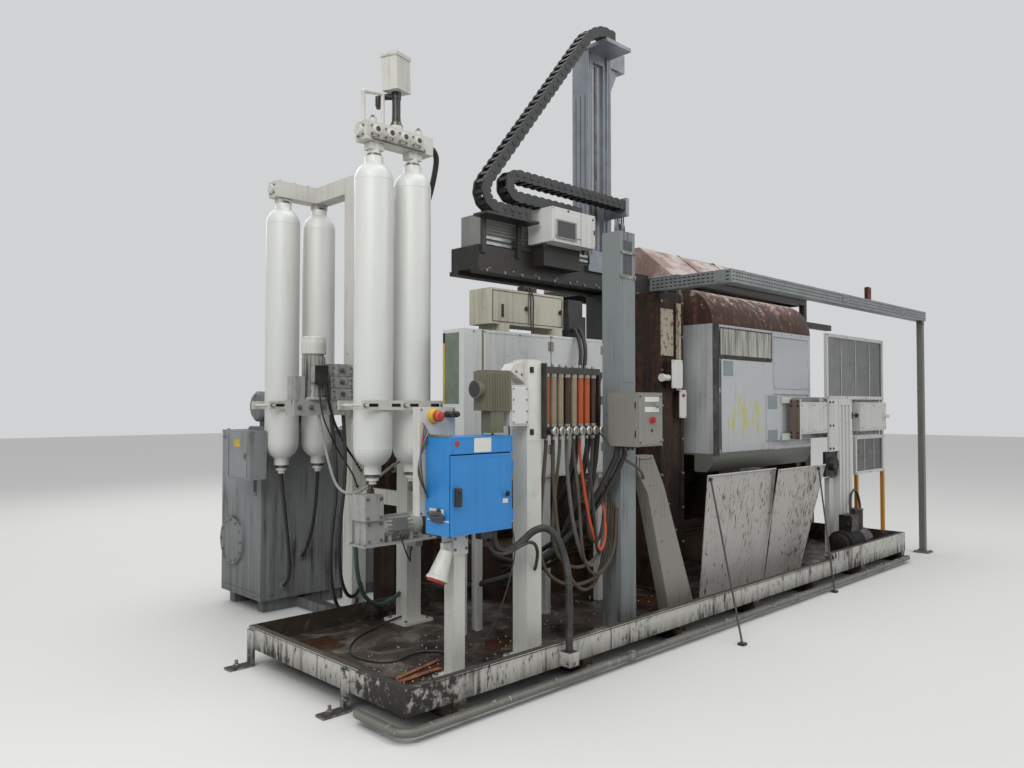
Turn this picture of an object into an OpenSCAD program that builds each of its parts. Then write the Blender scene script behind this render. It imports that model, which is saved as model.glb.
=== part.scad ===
// Cold chamber die casting machine, standing in its drip pan with its bottle rack, guards,
// sliding safety door, door drive, cable tray, gantry and operator's posts.
// Plan sizes are measured from the pan's near corner: X runs along the machine away from the
// bottle rack, Y away from the operator and Z up from the floor. The module plan() sets that
// drawing on the machine's own origin, which is the middle of the underside of the bed.

/* [Bed and closing unit] */
// Height of the machine's axis above the floor
axis_z = 1300; // [1250:10:1350]
// Distance of the machine's axis from the front of the pan
axis_y = 1800; // [1780:10:1820]
// Length of the bed
bed_l = 5100; // [5000:50:5200]
// Width of the bed
bed_w = 1100; // [1000:20:1120]
// Height of the bed
bed_h = 500; // [460:10:520]
// Width of the platens
platen_w = 1500; // [1400:20:1500]
// Height of the platens
platen_h = 1600; // [1560:10:1600]
// Thickness of the fixed platen
fixed_t = 450; // [400:10:450]
// Thickness of the moving platen
moving_t = 400; // [350:10:420]
// Thickness of the rear platen
rear_t = 350; // [300:10:350]
// Distance between the tie bars, centre to centre
tie_pitch = 830; // [780:10:840]
// Diameter of the tie bars
tie_d = 170; // [140:5:180]
// Bore of the shot cylinder's barrel, outside
shot_d = 300; // [260:10:320]

/* [Drip pan] */
// Length of the pan
pan_l = 6400; // [6360:10:6440]
// Height of the pan's floor above the ground
pan_rise = 100; // [80:5:110]
// Thickness of the pan's floor
pan_t = 12; // [8:1:14]
// Height of the rims above the ground
rim_z = 235; // [215:5:250]
// Height of the rim of the far section
far_rim_z = 290; // [260:5:300]
// Thickness of the rims
rim_t = 8; // [5:1:10]
// Width of the folded lip on the rims
lip_w = 45; // [35:1:55]
// Diameter of the anchor bolt holes
anchor_hole_d = 22; // [18:1:26]
// Distance between the two anchor holes
anchor_pitch = 1050; // [1000:10:1060]
// Diameter of the kick rail
kick_d = 48; // [42:1:60]

/* [Bottle rack] */
// Diameter of the bottles
bottle_d = 250; // [230:2:256]
// Distance between two bottles of a pair
bottle_pitch = 310; // [300:2:320]
// Height of the top of the front bottles
front_top_z = 3170; // [3120:10:3200]
// Height of the top of the rear bottles
rear_top_z = 3100; // [3060:10:3120]
// Side of the square rack columns
rack_col = 120; // [100:5:130]
// Height of the clamp bars
clamp_z = 1600; // [1560:10:1640]

/* [Guards and safety door] */
// Length of the safety door
door_l = 1780; // [1740:10:1800]
// Travel of the safety door
door_travel = 1100; // [1000:10:1100]
// Radius of the rounded top of the door
band_r = 320; // [310:1:330]
// Height at which the door's flat front ends
door_top_z = 2280; // [2270:2:2290]
// Thickness of the door's panel
door_t = 40; // [30:1:50]
// Length of the shot guard
guard_l = 1650; // [1600:10:1680]
// Height of the top of the shot guard
guard_top_z = 2100; // [2060:10:2140]

/* [Tray and gantry] */
// Height of the underside of the cable tray
tray_z = 2520; // [2500:5:2540]
// Depth of the cable tray
tray_h = 100; // [80:2:110]
// Width of the cable tray
tray_w = 100; // [90:2:120]
// Height of the underside of the gantry beam
beam_z = 2560; // [2540:5:2600]
// Height of the gantry beam
beam_h = 200; // [180:5:220]
// Height of the mast's head
mast_top_z = 4600; // [4500:10:4640]
// Pitch of the energy chain links
link_pitch = 75; // [70:1:80]
// Width of the energy chains
chain_w = 110; // [90:2:114]

/* [Operator side] */
// Width of the control cabinet
cabinet_w = 447; // [430:1:450]
// Height of the control cabinet
cabinet_h = 524; // [500:2:530]
// Depth of the control cabinet behind its door
cabinet_depth = 195; // [180:1:195]
// Thickness of the cabinet's door
leaf_t = 16; // [12:1:18]
// Diameter of the hinge pins
pin_d = 8; // [6:0.5:10]
// Side of the cabinet's post
post_w = 80; // [70:2:90]
// Side of the white pillar
pillar_w = 120; // [110:2:130]
// Height of the white pillar
pillar_z = 1870; // [1860:5:1900]
// Number of flow meters
meters = 8; // [6:1:8]
// Distance between flow meters
meter_pitch = 62; // [56:1:62]
// Width of the service column
column_w = 160; // [140:2:160]
// Height of the service column
column_z = 2750; // [2700:10:2800]

/* [Hidden] */

$fn = 48;
seat = 0.3;              // running gap between round faces that rest on each other
move_gap = 6;            // clearance beside anything that moves

anchor_y0 = 520;         // the first anchor from the pan's front
anchor_half = 40;
pan_near_w = anchor_y0 + anchor_pitch + anchor_half;

bed_x0 = 1900;
bed_x1 = bed_x0 + bed_l;
bed_y0 = axis_y - bed_w / 2;
bed_y1 = axis_y + bed_w / 2;
deck_z = pan_rise + pan_t;

fixed_x = 3050;
moving_x = 4550;
rear_x = 6150;
platen_z1 = bed_h + platen_h;
tie_offset = tie_pitch / 2;

front_y = 1176;          // line of the front pair of bottles
front_x = 615;           // the first of them
rear_y = 2448;           // line of the rear pair
rear_x0 = 671;
manifold_h = 120;
front_manifold_z = front_top_z + 120;
rear_manifold_z = rear_top_z + 70;
rack_a = [920, 1870];    // near corner of the rear column
rack_b = [1000, 1320];   // near corner of the front column

door_x = 3500;           // left edge of the safety door
door_y = 470;            // its front face
door_back = door_y + band_r;
skirt_z = 1180;
band_z1 = door_top_z + band_r;
door_rail_y = door_back + 50;
roller_d = 60;
door_rail_z = 2500;      // top of the rail that the door's rollers run on
hood_x0 = 3620;
hood_x1 = 6120;
hood_y = door_rail_y + 60;
hood_z = 2745;

stand_x0 = 5590;
stand_x1 = 5880;
stand_y1 = 430;
stand_z = 1660;
tower_x0 = 3000;
tower_x1 = 3330;
tower_y0 = 640;
tower_y1 = 900;

cabinet_x = 366;
cabinet_z = 907;
cabinet_y = 121;         // front edge of the body, behind the door
leaf_y = cabinet_y - leaf_t - 2;
pillar_x = 1000;
pillar_y = 170;
column_x = 1830;
column_y = 130;

steel_white = "#d9d7cf";
steel_grey = "#8b8c86";
rust = "#5a3c2e";
dark = "#2b2a28";

// Sets what is drawn from the pan's corner on the machine's own origin.
module plan() {
    translate([-(bed_x0 + bed_l / 2), -axis_y, 0]) children();
}

// A block between its lowest and its highest corner.
module block(lo, hi) {
    translate(lo) cube(hi - lo);
}

// A round bar from one point to another; a thin one may have few sides.
module bar(from, to, d, sides = 48) {
    v = to - from;
    translate(from) rotate([0, acos(v[2] / norm(v)), atan2(v[1], v[0])])
        cylinder(d = d, h = norm(v), $fn = sides);
}

// A round bar along X, Y or Z.
module bar_x(x0, x1, y, z, d) {
    translate([x0, y, z]) rotate([0, 90, 0]) cylinder(d = d, h = x1 - x0);
}
module bar_y(y0, y1, x, z, d) {
    translate([x, y0, z]) rotate([-90, 0, 0]) cylinder(d = d, h = y1 - y0);
}

// Draws its 2-D child, given in (Y, Z), as a solid from x0 to x1.
module along_x(x0, x1) {
    translate([x0, 0, 0]) rotate([90, 0, 90]) linear_extrude(x1 - x0) children();
}

// Draws its 2-D child, given in (X, Z), as a solid from y0 to y1.
module along_y(y0, y1) {
    translate([0, y1, 0]) rotate([90, 0, 0]) linear_extrude(y1 - y0) children();
}

// The bed is a long welded box with a shallow trough and recessed side panels.
module machine_bed() plan() color(rust) {
    panels = 5;
    step = bed_l / panels;
    difference() {
        block([bed_x0, bed_y0, 0], [bed_x1, bed_y1, bed_h]);
        block([bed_x0 + 150, axis_y - 250, bed_h - 80], [bed_x1 - 150, axis_y + 250, bed_h + 1]);
        for (i = [0 : panels - 1], y = [bed_y0 - 1, bed_y1 - 50])
            translate([bed_x0 + i * step + 80, y, 60]) cube([step - 160, 51, bed_h - 150]);
    }
}

// The floor of the pan lies on sleepers; its far and rear edges are folded up.
sleeper_w = 80;
sleeper_step = 1000;
sleepers = floor((pan_l - 300) / sleeper_step);
rear_strip_y = bed_y1 + 350;
module pan_floor() plan() color(dark) {
    block([rim_t, rim_t, pan_rise], [bed_x0, pan_near_w, deck_z]);
    block([bed_x0 - 1, rim_t, pan_rise], [pan_l, bed_y0, deck_z]);
    for (i = [0 : sleepers]) {
        x = 300 + i * sleeper_step;
        block([x, 0, 0], [x + sleeper_w, x < bed_x0 ? pan_near_w : bed_y0, pan_rise]);
    }
    block([pan_l - rim_t, rim_t, deck_z - 1], [pan_l, bed_y0, far_rim_z]);
    block([rim_t, pan_near_w - rim_t, deck_z - 1], [bed_x0, pan_near_w, rim_z]);
}

// The front rim is a folded strip with a flat lip, higher on the far section.
far_rim_x = 4700;
elbow_x = 1130;
elbow_box = 80;
module pan_rim_front() plan() color(steel_white) {
    block([rim_t, 0, pan_rise], [lip_w + 1, rim_t, rim_z - rim_t]);
    block([lip_w, 0, pan_rise], [far_rim_x, rim_t, rim_z]);
    block([lip_w, 0, rim_z - rim_t], [far_rim_x, lip_w, rim_z]);
    block([far_rim_x, 0, pan_rise], [pan_l, rim_t, far_rim_z]);
    block([far_rim_x, 0, far_rim_z - rim_t], [pan_l - rim_t, lip_w, far_rim_z]);
    block([far_rim_x, 0, deck_z], [far_rim_x + rim_t, lip_w, far_rim_z]);
    block([elbow_x - elbow_box / 2, -elbow_box, pan_rise + 10],
          [elbow_x + elbow_box / 2, 1, pan_rise + 10 + elbow_box]);
}

// The end rim carries the two anchor plates that bolt the pan to the floor.
anchor_x = -100;
module pan_rim_end() plan() color(steel_white) {
    block([0, 0, pan_rise], [rim_t, pan_near_w, rim_z]);
    block([0, 0, rim_z - rim_t], [lip_w, pan_near_w - rim_t, rim_z]);
    for (i = [0, 1]) {
        y = anchor_y0 + i * anchor_pitch;
        difference() {
            block([anchor_x - 60, y - anchor_half, 0], [0, y + anchor_half, 12]);
            translate([anchor_x, y, -1]) cylinder(d = anchor_hole_d, h = 20);
        }
        block([-12, y - anchor_half, 0], [1, y + anchor_half, rim_z - 20]);
    }
}

// A steel pipe runs just above the floor in front of the pan.
kick_y = -60;
kick_z = 50;
module kick_rail() plan() color(steel_grey) {
    bend = 90;
    bar_x(kick_y + bend, pan_l - 100, kick_y, kick_z, kick_d);
    bar_y(kick_y + bend, 330, kick_y, kick_z, kick_d);
    translate([kick_y + bend, kick_y + bend, kick_z]) rotate([0, 0, 180])
        rotate_extrude(angle = 90) translate([bend, 0]) circle(d = kick_d);
    for (i = [0 : sleepers]) {
        x = 300 + i * sleeper_step + sleeper_w / 2;
        block([x - 15, kick_y, kick_z - 8], [x + 15, 0, kick_z + 8]);
    }
}

// The oil tank is a stiffened steel box on two skids, with a flanged hatch on its end.
tank_x0 = 600;
tank_x1 = 2500;
tank_y0 = 2620;
tank_y1 = 3300;
tank_z = 1400;
module hydraulic_tank() plan() color(steel_grey) {
    for (y = [tank_y0 + 60, tank_y1 - 140])
        block([tank_x0 + 50, y, 0], [tank_x1 - 50, y + 80, 101]);
    block([tank_x0, tank_y0 + 8, 100], [tank_x1, tank_y1 - 8, tank_z - 20]);
    block([tank_x0, tank_y0, tank_z - 21], [tank_x1 + 8, tank_y1, tank_z]);
    for (x = [tank_x0 + 60 : 420 : tank_x1 - 60], y = [tank_y0, tank_y1 - 9])
        block([x, y, 140], [x + 50, y + 9, tank_z - 40]);
    bar_x(tank_x0 - 25, tank_x0 + 1, tank_y0 + 460, 520, 380);
    tie_x = rack_a[0] + rack_col / 2;
    block([tie_x - 40, rack_a[1] + rack_col + rack_foot, 0], [tie_x + 40, tank_y0 + 61, 80]);
}

// On the tank stand a motor with its pump, and a return filter.
module tank_pump() plan() color(steel_white) {
    base = [tank_x0 + 120, tank_y0 + 150, tank_z];
    block(base, base + [620, 300, 30]);
    for (x = [60, 380]) block(base + [x, 60, 29], base + [x + 40, 240, 90]);
    translate(base + [40, 150, 190]) rotate([0, 90, 0]) {
        cylinder(d = 240, h = 400);
        for (a = [0 : 30 : 330]) rotate([0, 0, a]) translate([115, -4, 30]) cube([16, 8, 330]);
    }
    translate(base + [439, 150, 190]) rotate([0, 90, 0]) cylinder(d = 140, h = 150);
    translate(base + [540, 150, 29]) cylinder(d = 60, h = 120);
    translate(base + [130, 40, 290]) cube([140, 110, 70]);
}

// A small wiring box hangs on a bracket at the tank's corner.
module tank_box() plan() color(steel_grey) {
    block([400, 2420, 1050], [535, 2770, 1410]);
    block([534, 2650, 1120], [tank_x0, 2740, 1340]);
    block([394, 2432, 1062], [401, 2758, 1398]);
}

// A pressure bottle with domed ends, a stepped lower neck with a hexagon, and an upper neck.
module bottle(z0, z1, low, high) {
    r = bottle_d / 2;
    translate([0, 0, z0 + r]) {
        sphere(r = r);
        cylinder(r = r, h = z1 - z0 - 2 * r);
    }
    translate([0, 0, z1 - r]) sphere(r = r);
    translate([0, 0, z0 - 40]) cylinder(d = 110, h = 60);
    translate([0, 0, z0 - 80]) cylinder(d = 80, h = 41);
    translate([0, 0, low]) cylinder(d = 52, h = z0 - 80 - low + 1, $fn = 6);
    translate([0, 0, z1 - 20]) cylinder(d = 120, h = 50);
    translate([0, 0, z1 + 20]) cylinder(d = 80, h = high - z1 - 20);
}
module bottles_front() plan() color(steel_white) {
    for (i = [0, 1]) translate([front_x + i * bottle_pitch, front_y, 0])
        bottle(1200, front_top_z, 1096, front_manifold_z);
}
module bottles_rear() plan() color(steel_white) {
    for (i = [0, 1]) translate([rear_x0 + i * bottle_pitch, rear_y, 0])
        bottle(1190, rear_top_z, 1086, rear_manifold_z);
}

// Two bored blocks join the bottles; the rear one turns and rests on its column.
module bottle_manifolds() plan() color(steel_white) {
    half = manifold_h / 2;
    z = front_manifold_z;
    x0 = front_x - 100;
    x1 = front_x + bottle_pitch + 130;
    block([x0, front_y - half, z], [x1, front_y + half, z + manifold_h]);
    for (x = [x0 + 90, x0 + 460]) translate([x, front_y, z + manifold_h - 1]) cylinder(d = 50, h = 41);
    for (x = [x0 + 60 : 110 : x1 - 60]) bar_y(front_y - half - 25, front_y - half + 1, x, z + 60, 46);
    bar_x(x0 - 30, x0 + 1, front_y, z + half, 70);
    pipe_x = x0 + 30;
    bar([pipe_x, front_y + 20, z + manifold_h - 5], [pipe_x, front_y + 20, z + 330], 26);
    bar([pipe_x, front_y + 20, z + 330], [pipe_x + 150, front_y + 20, z + 350], 26);
    bar([pipe_x + 150, front_y + 20, z + 350], [pipe_x + 150, front_y + 20, z + manifold_h - 5], 26);
    for (p = [[0, 330], [150, 350]]) translate([pipe_x + p[0], front_y + 20, z + p[1]]) sphere(d = 32);
    zr = rear_manifold_z;
    block([rear_x0 - 90, rear_y - half, zr], [rack_a[0] + rack_col, rear_y + half, zr + manifold_h]);
    block([rack_a[0], rack_a[1], zr], [rack_a[0] + rack_col, rear_y, zr + manifold_h]);
    bar_x(rear_x0 - 115, rear_x0 - 89, rear_y, zr + half, 70);
}

// Two square columns, tied together, hold the bottles between bolted flat bars.
rack_foot = 60;
clamp_t = 12;
clamp_h = 60;
module clamp_pair(x0, y) {
    ends = 50;
    r = bottle_d / 2 + seat;
    for (s = [-1, 1])
        translate([x0 - r - ends, s > 0 ? y + r : y - r - clamp_t, clamp_z - clamp_h / 2])
            cube([bottle_pitch + 2 * r + 2 * ends, clamp_t, clamp_h]);
    for (x = [x0 - r - ends / 2, x0 + bottle_pitch / 2, x0 + bottle_pitch + r + ends / 2])
        bar_y(y - r - clamp_t - 20, y + r + clamp_t + 20, x, clamp_z, 18);
}
module bottle_rack() plan() color(steel_white) {
    a = rack_a;
    b = rack_b;
    block([a[0], a[1], 0], [a[0] + rack_col, a[1] + rack_col, rear_manifold_z]);
    block([a[0] - rack_foot, a[1] - rack_foot, 0],
          [a[0] + rack_col + rack_foot, a[1] + rack_col + rack_foot, 20]);
    block([b[0], b[1], deck_z], [b[0] + rack_col, b[1] + rack_col, 2900]);
    block([b[0] - rack_foot, b[1] - rack_foot, deck_z],
          [b[0] + rack_col + rack_foot, b[1] + rack_col + rack_foot, deck_z + 20]);
    for (z = [900, clamp_z - 50, 2700])
        block([b[0], b[1] + rack_col - 1, z], [b[0] + 40, a[1] + 1, z + 100]);
    clamp_pair(front_x, front_y);
    clamp_pair(rear_x0, rear_y);
    block([b[0], front_y + bottle_d / 2 + seat + 1, clamp_z - 30],
          [b[0] + 40, b[1] + 1, clamp_z + 30]);
    block([a[0] + 20, a[1] + rack_col - 1, clamp_z - 30],
          [a[0] + 80, rear_y - bottle_d / 2 - seat - 1, clamp_z + 30]);
    block([b[0] + rack_col - 1, b[1] + 20, 2350], [b[0] + rack_col + 60, b[1] + 100, 2700]);
}

// A level transmitter stands on a dark neck on the front manifold.
module level_transmitter() plan() color(steel_white) {
    z = front_manifold_z + manifold_h;
    x = front_x + 175;
    translate([x, front_y, z]) cylinder(d = 90, h = 30);
    translate([x, front_y, z]) cylinder(d = 55, h = 290);
    translate([x, front_y, z + 180]) rotate([0, -4, 20]) {
        translate([-70, -60, 80]) cube([160, 120, 220]);
        translate([-76, -66, 296]) cube([172, 132, 24]);
    }
}

// A vertical pump motor and a stack of valves stand on an oil block held by the rear column.
valve_z = 1530;
motor_x = 615;
module valve_group() plan() color(steel_grey) {
    y = rack_a[1] + 30;
    block([430, y - 60, valve_z], [rack_a[0], y + 60, valve_z + 110]);
    translate([motor_x, y, valve_z + 109]) {
        cylinder(d = 190, h = 16);
        cylinder(d = 140, h = 330);
        for (a = [0 : 20 : 340]) rotate([0, 0, a]) translate([66, -3, 30]) cube([16, 6, 270]);
        translate([0, 0, 320]) cylinder(d = 168, h = 110);
        translate([-60, -120, 120]) cube([100, 60, 110]);
    }
    for (i = [0 : 2]) {
        z = valve_z + 109 + i * 85;
        block([720, y - 70 + i * 8, z], [900, y + 60 - i * 8, z + 80]);
        block([740, y - 50, z + 79], [880, y + 50, z + 86]);
    }
    for (i = [0 : 2]) bar_x(650 + 40, 721, y, valve_z + 150 + i * 85, 44);
    block([440, y - 50, valve_z + 109], [520, y + 50, valve_z + 270]);
}

// Under the front bottles a small finned motor drives a circulation pump on a chipped bracket.
pump_y = 1140;
pump_z = 730;
module circulation_pump() plan() color(steel_grey) {
    block([470, pump_y - 90, pump_z - 12], [rack_b[0] + 40, pump_y + 90, pump_z]);
    block([rack_b[0] - 20, pump_y + 60, pump_z - 80], [rack_b[0] + 40, rack_b[1], pump_z]);
    translate([640, pump_y, pump_z + 95]) rotate([0, 90, 0]) {
        cylinder(d = 130, h = 260);
        for (a = [0 : 20 : 340]) rotate([0, 0, a]) translate([60, -3, 20]) cube([14, 6, 200]);
        translate([0, 0, 245]) cylinder(d = 150, h = 50);
    }
    for (x = [680, 850]) block([x, pump_y - 50, pump_z - 1], [x + 24, pump_y + 50, pump_z + 60]);
    block([500, pump_y - 60, pump_z - 1], [641, pump_y + 60, pump_z + 150]);
    block([480, pump_y - 80, pump_z + 149], [620, pump_y + 60, pump_z + 310]);
}

// The shot cylinder lies between two square heads on its leg, with arms to the fixed platen.
shot_x0 = 1150;
sleeve_d = 200;
rod_d = 90;
head_t = 150;
head_w = 380;
module shot_unit() plan() color(rust) {
    x1 = 2500;
    half = head_w / 2;
    for (x = [shot_x0, x1])
        block([x, axis_y - half, axis_z - half], [x + head_t, axis_y + half, axis_z + half]);
    bar_x(shot_x0 + 1, x1 + 1, axis_y, axis_z, shot_d);
    for (y = [-1, 1], z = [-1, 1])
        bar_x(shot_x0 - 40, x1 + head_t + 40, axis_y + y * (half - 35), axis_z + z * (half - 35), 44);
    bar_x(x1 + 100, fixed_x + 200, axis_y, axis_z, rod_d);
    bar_x(2700, 2800, axis_y, axis_z, 150);
    difference() {
        bar_x(fixed_x - 180, fixed_x + fixed_t, axis_y, axis_z, sleeve_d - 2 * seat);
        bar_x(fixed_x - 181, fixed_x + fixed_t - 60, axis_y, axis_z, rod_d + 20);
    }
    for (s = [-1, 1])
        translate([x1 + 10, axis_y + s * (half + 30) - 45, axis_z - 90]) cube([fixed_x - x1 - 10, 90, 180]);
    block([x1 + 10, axis_y - half - 60, axis_z - 60], [x1 + head_t, axis_y + half + 60, axis_z + 60]);
    block([shot_x0, axis_y - 130, 0], [shot_x0 + head_t, axis_y + 130, axis_z - half + 1]);
    block([shot_x0 - 50, axis_y - 180, 0], [shot_x0 + head_t + 50, axis_y + 180, 30]);
}

// The four holes that the tie bars pass through.
module tie_holes(x0, x1) {
    for (y = [-1, 1], z = [-1, 1])
        bar_x(x0 - 1, x1 + 1, axis_y + y * tie_offset, axis_z + z * tie_offset, tie_d + 2 * seat);
}
module platen_block(x0, x1) {
    chamfer = 90;
    y0 = axis_y - platen_w / 2;
    y1 = axis_y + platen_w / 2;
    along_x(x0, x1) polygon([
        [y0, bed_h], [y1, bed_h], [y1, platen_z1 - chamfer], [y1 - chamfer, platen_z1],
        [y0 + chamfer, platen_z1], [y0, platen_z1 - chamfer]
    ]);
}

// The fixed platen has tee slots on its die face and the hole of the shot sleeve.
module fixed_platen() plan() color(rust) {
    x1 = fixed_x + fixed_t;
    difference() {
        platen_block(fixed_x, x1);
        tie_holes(fixed_x, x1);
        bar_x(fixed_x - 1, x1 + 1, axis_y, axis_z, sleeve_d);
        for (i = [-2 : 2]) {
            y = axis_y + i * 120;
            if (i != 0) block([x1 - 30, y - 14, bed_h + 120], [x1 + 1, y + 14, platen_z1 - 120]);
        }
    }
}

// The moving platen carries the ejector box on its back.
module moving_platen() plan() color(rust) {
    x1 = moving_x + moving_t;
    difference() {
        platen_block(moving_x, x1);
        tie_holes(moving_x, x1);
        for (i = [-2 : 2]) {
            y = axis_y + i * 120;
            block([moving_x - 1, y - 14, bed_h + 120], [moving_x + 30, y + 14, platen_z1 - 120]);
        }
    }
    block([x1 - 1, axis_y - 200, axis_z - 200], [x1 + 100, axis_y + 200, axis_z + 200]);
}

// The rear platen lets the closing cylinder's rod through.
module rear_platen() plan() color(rust) {
    x1 = rear_x + rear_t;
    difference() {
        platen_block(rear_x, x1);
        tie_holes(rear_x, x1);
        bar_x(rear_x - 1, x1 + 1, axis_y, axis_z, rod_d + 20);
    }
}

// Four polished bars with round nuts tie the outer platens together.
module tie_bars() plan() color("silver") {
    for (y = [-1, 1], z = [-1, 1]) translate([0, axis_y + y * tie_offset, axis_z + z * tie_offset]) {
        bar_x(fixed_x - 160, rear_x + rear_t + 200, 0, 0, tie_d);
        bar_x(fixed_x - 120, fixed_x, 0, 0, tie_d + 80);
        bar_x(rear_x + rear_t, rear_x + rear_t + 120, 0, 0, tie_d + 80);
    }
}

// The closing cylinder pushes a crosshead that spreads two pairs of toggle links.
link_t = 90;
module toggle_link(from, to, y) {
    v = to - from;
    translate([from[0], y, from[1]]) rotate([0, -atan2(v[1], v[0]), 0]) {
        translate([0, 0, -70]) cube([norm(v), link_t, 140]);
        for (x = [0, norm(v)]) bar_y(0, link_t, x, 0, 190);
    }
}
module closing_gear() plan() color(steel_grey) {
    x0 = moving_x + moving_t;
    x1 = rear_x;
    knee_x = (x0 + x1) / 2;
    for (s = [-1, 1]) {
        a = [x0 + 110, axis_z + s * 400];
        k = [knee_x, axis_z + s * 330];
        b = [x1 - 110, axis_z + s * 400];
        for (y = [-1, 1]) {
            toggle_link(a, k, axis_y + y * 200 - link_t / 2);
            toggle_link(k, b, axis_y + y * (200 - link_t - 4) - link_t / 2);
        }
        toggle_link([knee_x - 60, axis_z + s * 120], k, axis_y - link_t / 2);
        for (p = [a, k, b]) bar_y(axis_y - 270, axis_y + 270, p[0], p[1], 80);
        block([x0, axis_y - 140, a[1] - 90], [a[0] + 20, axis_y + 140, a[1] + 90]);
        block([b[0] - 20, axis_y - 60, b[1] - 90], [x1, axis_y + 60, b[1] + 90]);
    }
    block([knee_x - 130, axis_y - 180, axis_z - 180], [knee_x + 20, axis_y + 180, axis_z + 180]);
    bar_x(knee_x, rear_x + rear_t + 1, axis_y, axis_z, rod_d);
    bar_x(rear_x + rear_t, 6950, axis_y, axis_z, 260);
    bar_x(rear_x + rear_t, rear_x + rear_t + 60, axis_y, axis_z, 340);
    bar_x(6900, 6960, axis_y, axis_z, 310);
}

// A brown box column with flanges stands beside the fixed platen and takes the tray's end.
module side_tower() plan() color(rust) {
    block([tower_x0 + 10, tower_y0 + 10, deck_z], [tower_x1 - 10, tower_y1 - 10, tray_z]);
    for (x = [tower_x0, tower_x1 - 40]) block([x, tower_y0, deck_z], [x + 40, tower_y1, tray_z - 60]);
    block([tower_x0 - 20, tower_y0 - 20, deck_z], [tower_x1 + 20, tower_y1 + 20, deck_z + 20]);
    block([tower_x0 + 60, tower_y0 - 70, 1740], [tower_x0 + 200, tower_y0 + 11, 1960]);
    block([tower_x0 + 210, tower_y0 - 40, 1500], [tower_x0 + 300, tower_y0 + 11, 1720]);
}

// White sheet panels on square posts cover the shot end.
guard_x = 1050;
guard_y = 790;
guard_t = 30;
guard_seams = [0, 0.1, 0.5, 0.857, 1];  // shares of the length
module guard_panels() plan() color(steel_white) {
    leaves = len(guard_seams) - 1;
    for (i = [0 : leaves - 1])
        block([guard_x + guard_seams[i] * guard_l + (i > 0 ? 3 : 0), guard_y, 1090],
              [guard_x + guard_seams[i + 1] * guard_l, guard_y + guard_t, guard_top_z]);
    block([guard_x, guard_y + guard_t - 1, 1090], [guard_x + 6, 1000, guard_top_z]);
    for (seam = guard_seams) {
        x = max(guard_x + 6, min(guard_x + seam * guard_l - 25, guard_x + guard_l - 50));
        block([x, guard_y + guard_t - 1, deck_z], [x + 50, guard_y + guard_t + 50, guard_top_z]);
    }
    block([guard_x + 6, guard_y + guard_t, guard_top_z - 50],
          [guard_x + guard_l, guard_y + guard_t + 50, guard_top_z]);
}

// A cream relay box stands on two arms on the guard's top rail, with a dark coupler box beside it.
relay_x = guard_x + 320;
module relay_box() plan() color("#cfc9b4") {
    z = guard_top_z;
    block([relay_x, guard_y + 90, z + 60], [relay_x + 740, guard_y + 310, z + 307]);
    for (x = [relay_x + 80, relay_x + 620])
        block([x, guard_y + guard_t, z], [x + 40, guard_y + 300, z + 61]);
}
module coupler_box() plan() color(dark) {
    x = relay_x + 742;
    z = guard_top_z;
    block([x, guard_y + guard_t + 5, z], [x + 190, guard_y + 200, z + 165]);
    block([x + 10, guard_y + guard_t + 20, z + 164], [x + 170, guard_y + 180, z + 285]);
}

// Plain sheet panels on posts close the rear of the machine.
module rear_guard() plan() color(steel_white) {
    y = rear_strip_y + 20;
    x0 = 2700;
    x1 = 6980;
    bays = 3;
    step = (x1 - x0 - 60) / bays;
    for (i = [0 : bays]) {
        block([x0 + i * step, y, 0], [x0 + i * step + 60, y + 60, 2300]);
        block([x0 + i * step - 30, y - 30, 0], [x0 + i * step + 90, y + 90, 12]);
    }
    for (i = [0 : bays - 1])
        block([x0 + i * step + 30, y + 59, 500], [x0 + (i + 1) * step + 24, y + 75, 2280]);
    for (z = [500, 1370, 2240]) block([x0, y, z], [x1, y + 60, z + 60]);
    for (i = [0 : bays]) block([x0 + i * step, bed_y1, 300], [x0 + i * step + 60, y + 1, 360]);
}

// Two loose sheets lean outward in front of the die space; the right one is bent.
shield_y = 330;
shield_lean = 7;
shield_t = 4;
shield_h = 960;
module shield_sheet(x0, x1_low, x1_high, lean) {
    translate([0, shield_y, deck_z + shield_t * sin(lean) + seat]) rotate([lean, 0, 0])
        along_y(-shield_t, 0) polygon([[x0 + 60, 0], [x1_low, 0], [x1_high, shield_h], [x0, shield_h]]);
}
module splash_shield() plan() color(steel_white) {
    shield_sheet(3000, 4050, 4060, shield_lean);
    shield_sheet(4020, 4720, 4900, shield_lean + 3);
}

// Two thin rods prop the sheets; each has a square clip on top and a small square foot.
clip_w = 22;
function on_sheet(p, lean) = [
    p[0],
    shield_y + p[1] * cos(lean) - p[2] * sin(lean),
    deck_z + shield_t * sin(lean) + seat + p[1] * sin(lean) + p[2] * cos(lean)
];
module prop(x, h, lean, foot) {
    half = clip_w / 2;
    top = on_sheet([x, -shield_t - half - 0.1, h], lean);
    bar([foot[0], foot[1], 9], top, 14, 10);
    translate([foot[0] - 23, foot[1] - 23, 0]) cube([46, 46, 16]);
    translate(top) rotate([lean, 0, 0]) translate([-half, -half, -half]) cube(clip_w);
}
module shield_props() plan() color(dark) {
    prop(3030, shield_h - 30, shield_lean, [2530, -340]);
    prop(4760, shield_h - 30, shield_lean + 3, [4470, -110]);
}

// The door's outline seen along X: a curved skirt and a flat front.
skirt_r = 180;
skirt_turn = 50;
module ring(r, t) {
    difference() {
        circle(r = r, $fn = 96);
        circle(r = r - t, $fn = 96);
    }
}
module skirt_profile() {
    intersection() {
        translate([door_y + skirt_r, skirt_z]) ring(skirt_r, 8);
        translate([door_y + skirt_r, skirt_z]) polygon([
            [0, 0], [-400, 0], [-400 , -400 * tan(skirt_turn)]
        ]);
    }
}

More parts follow.
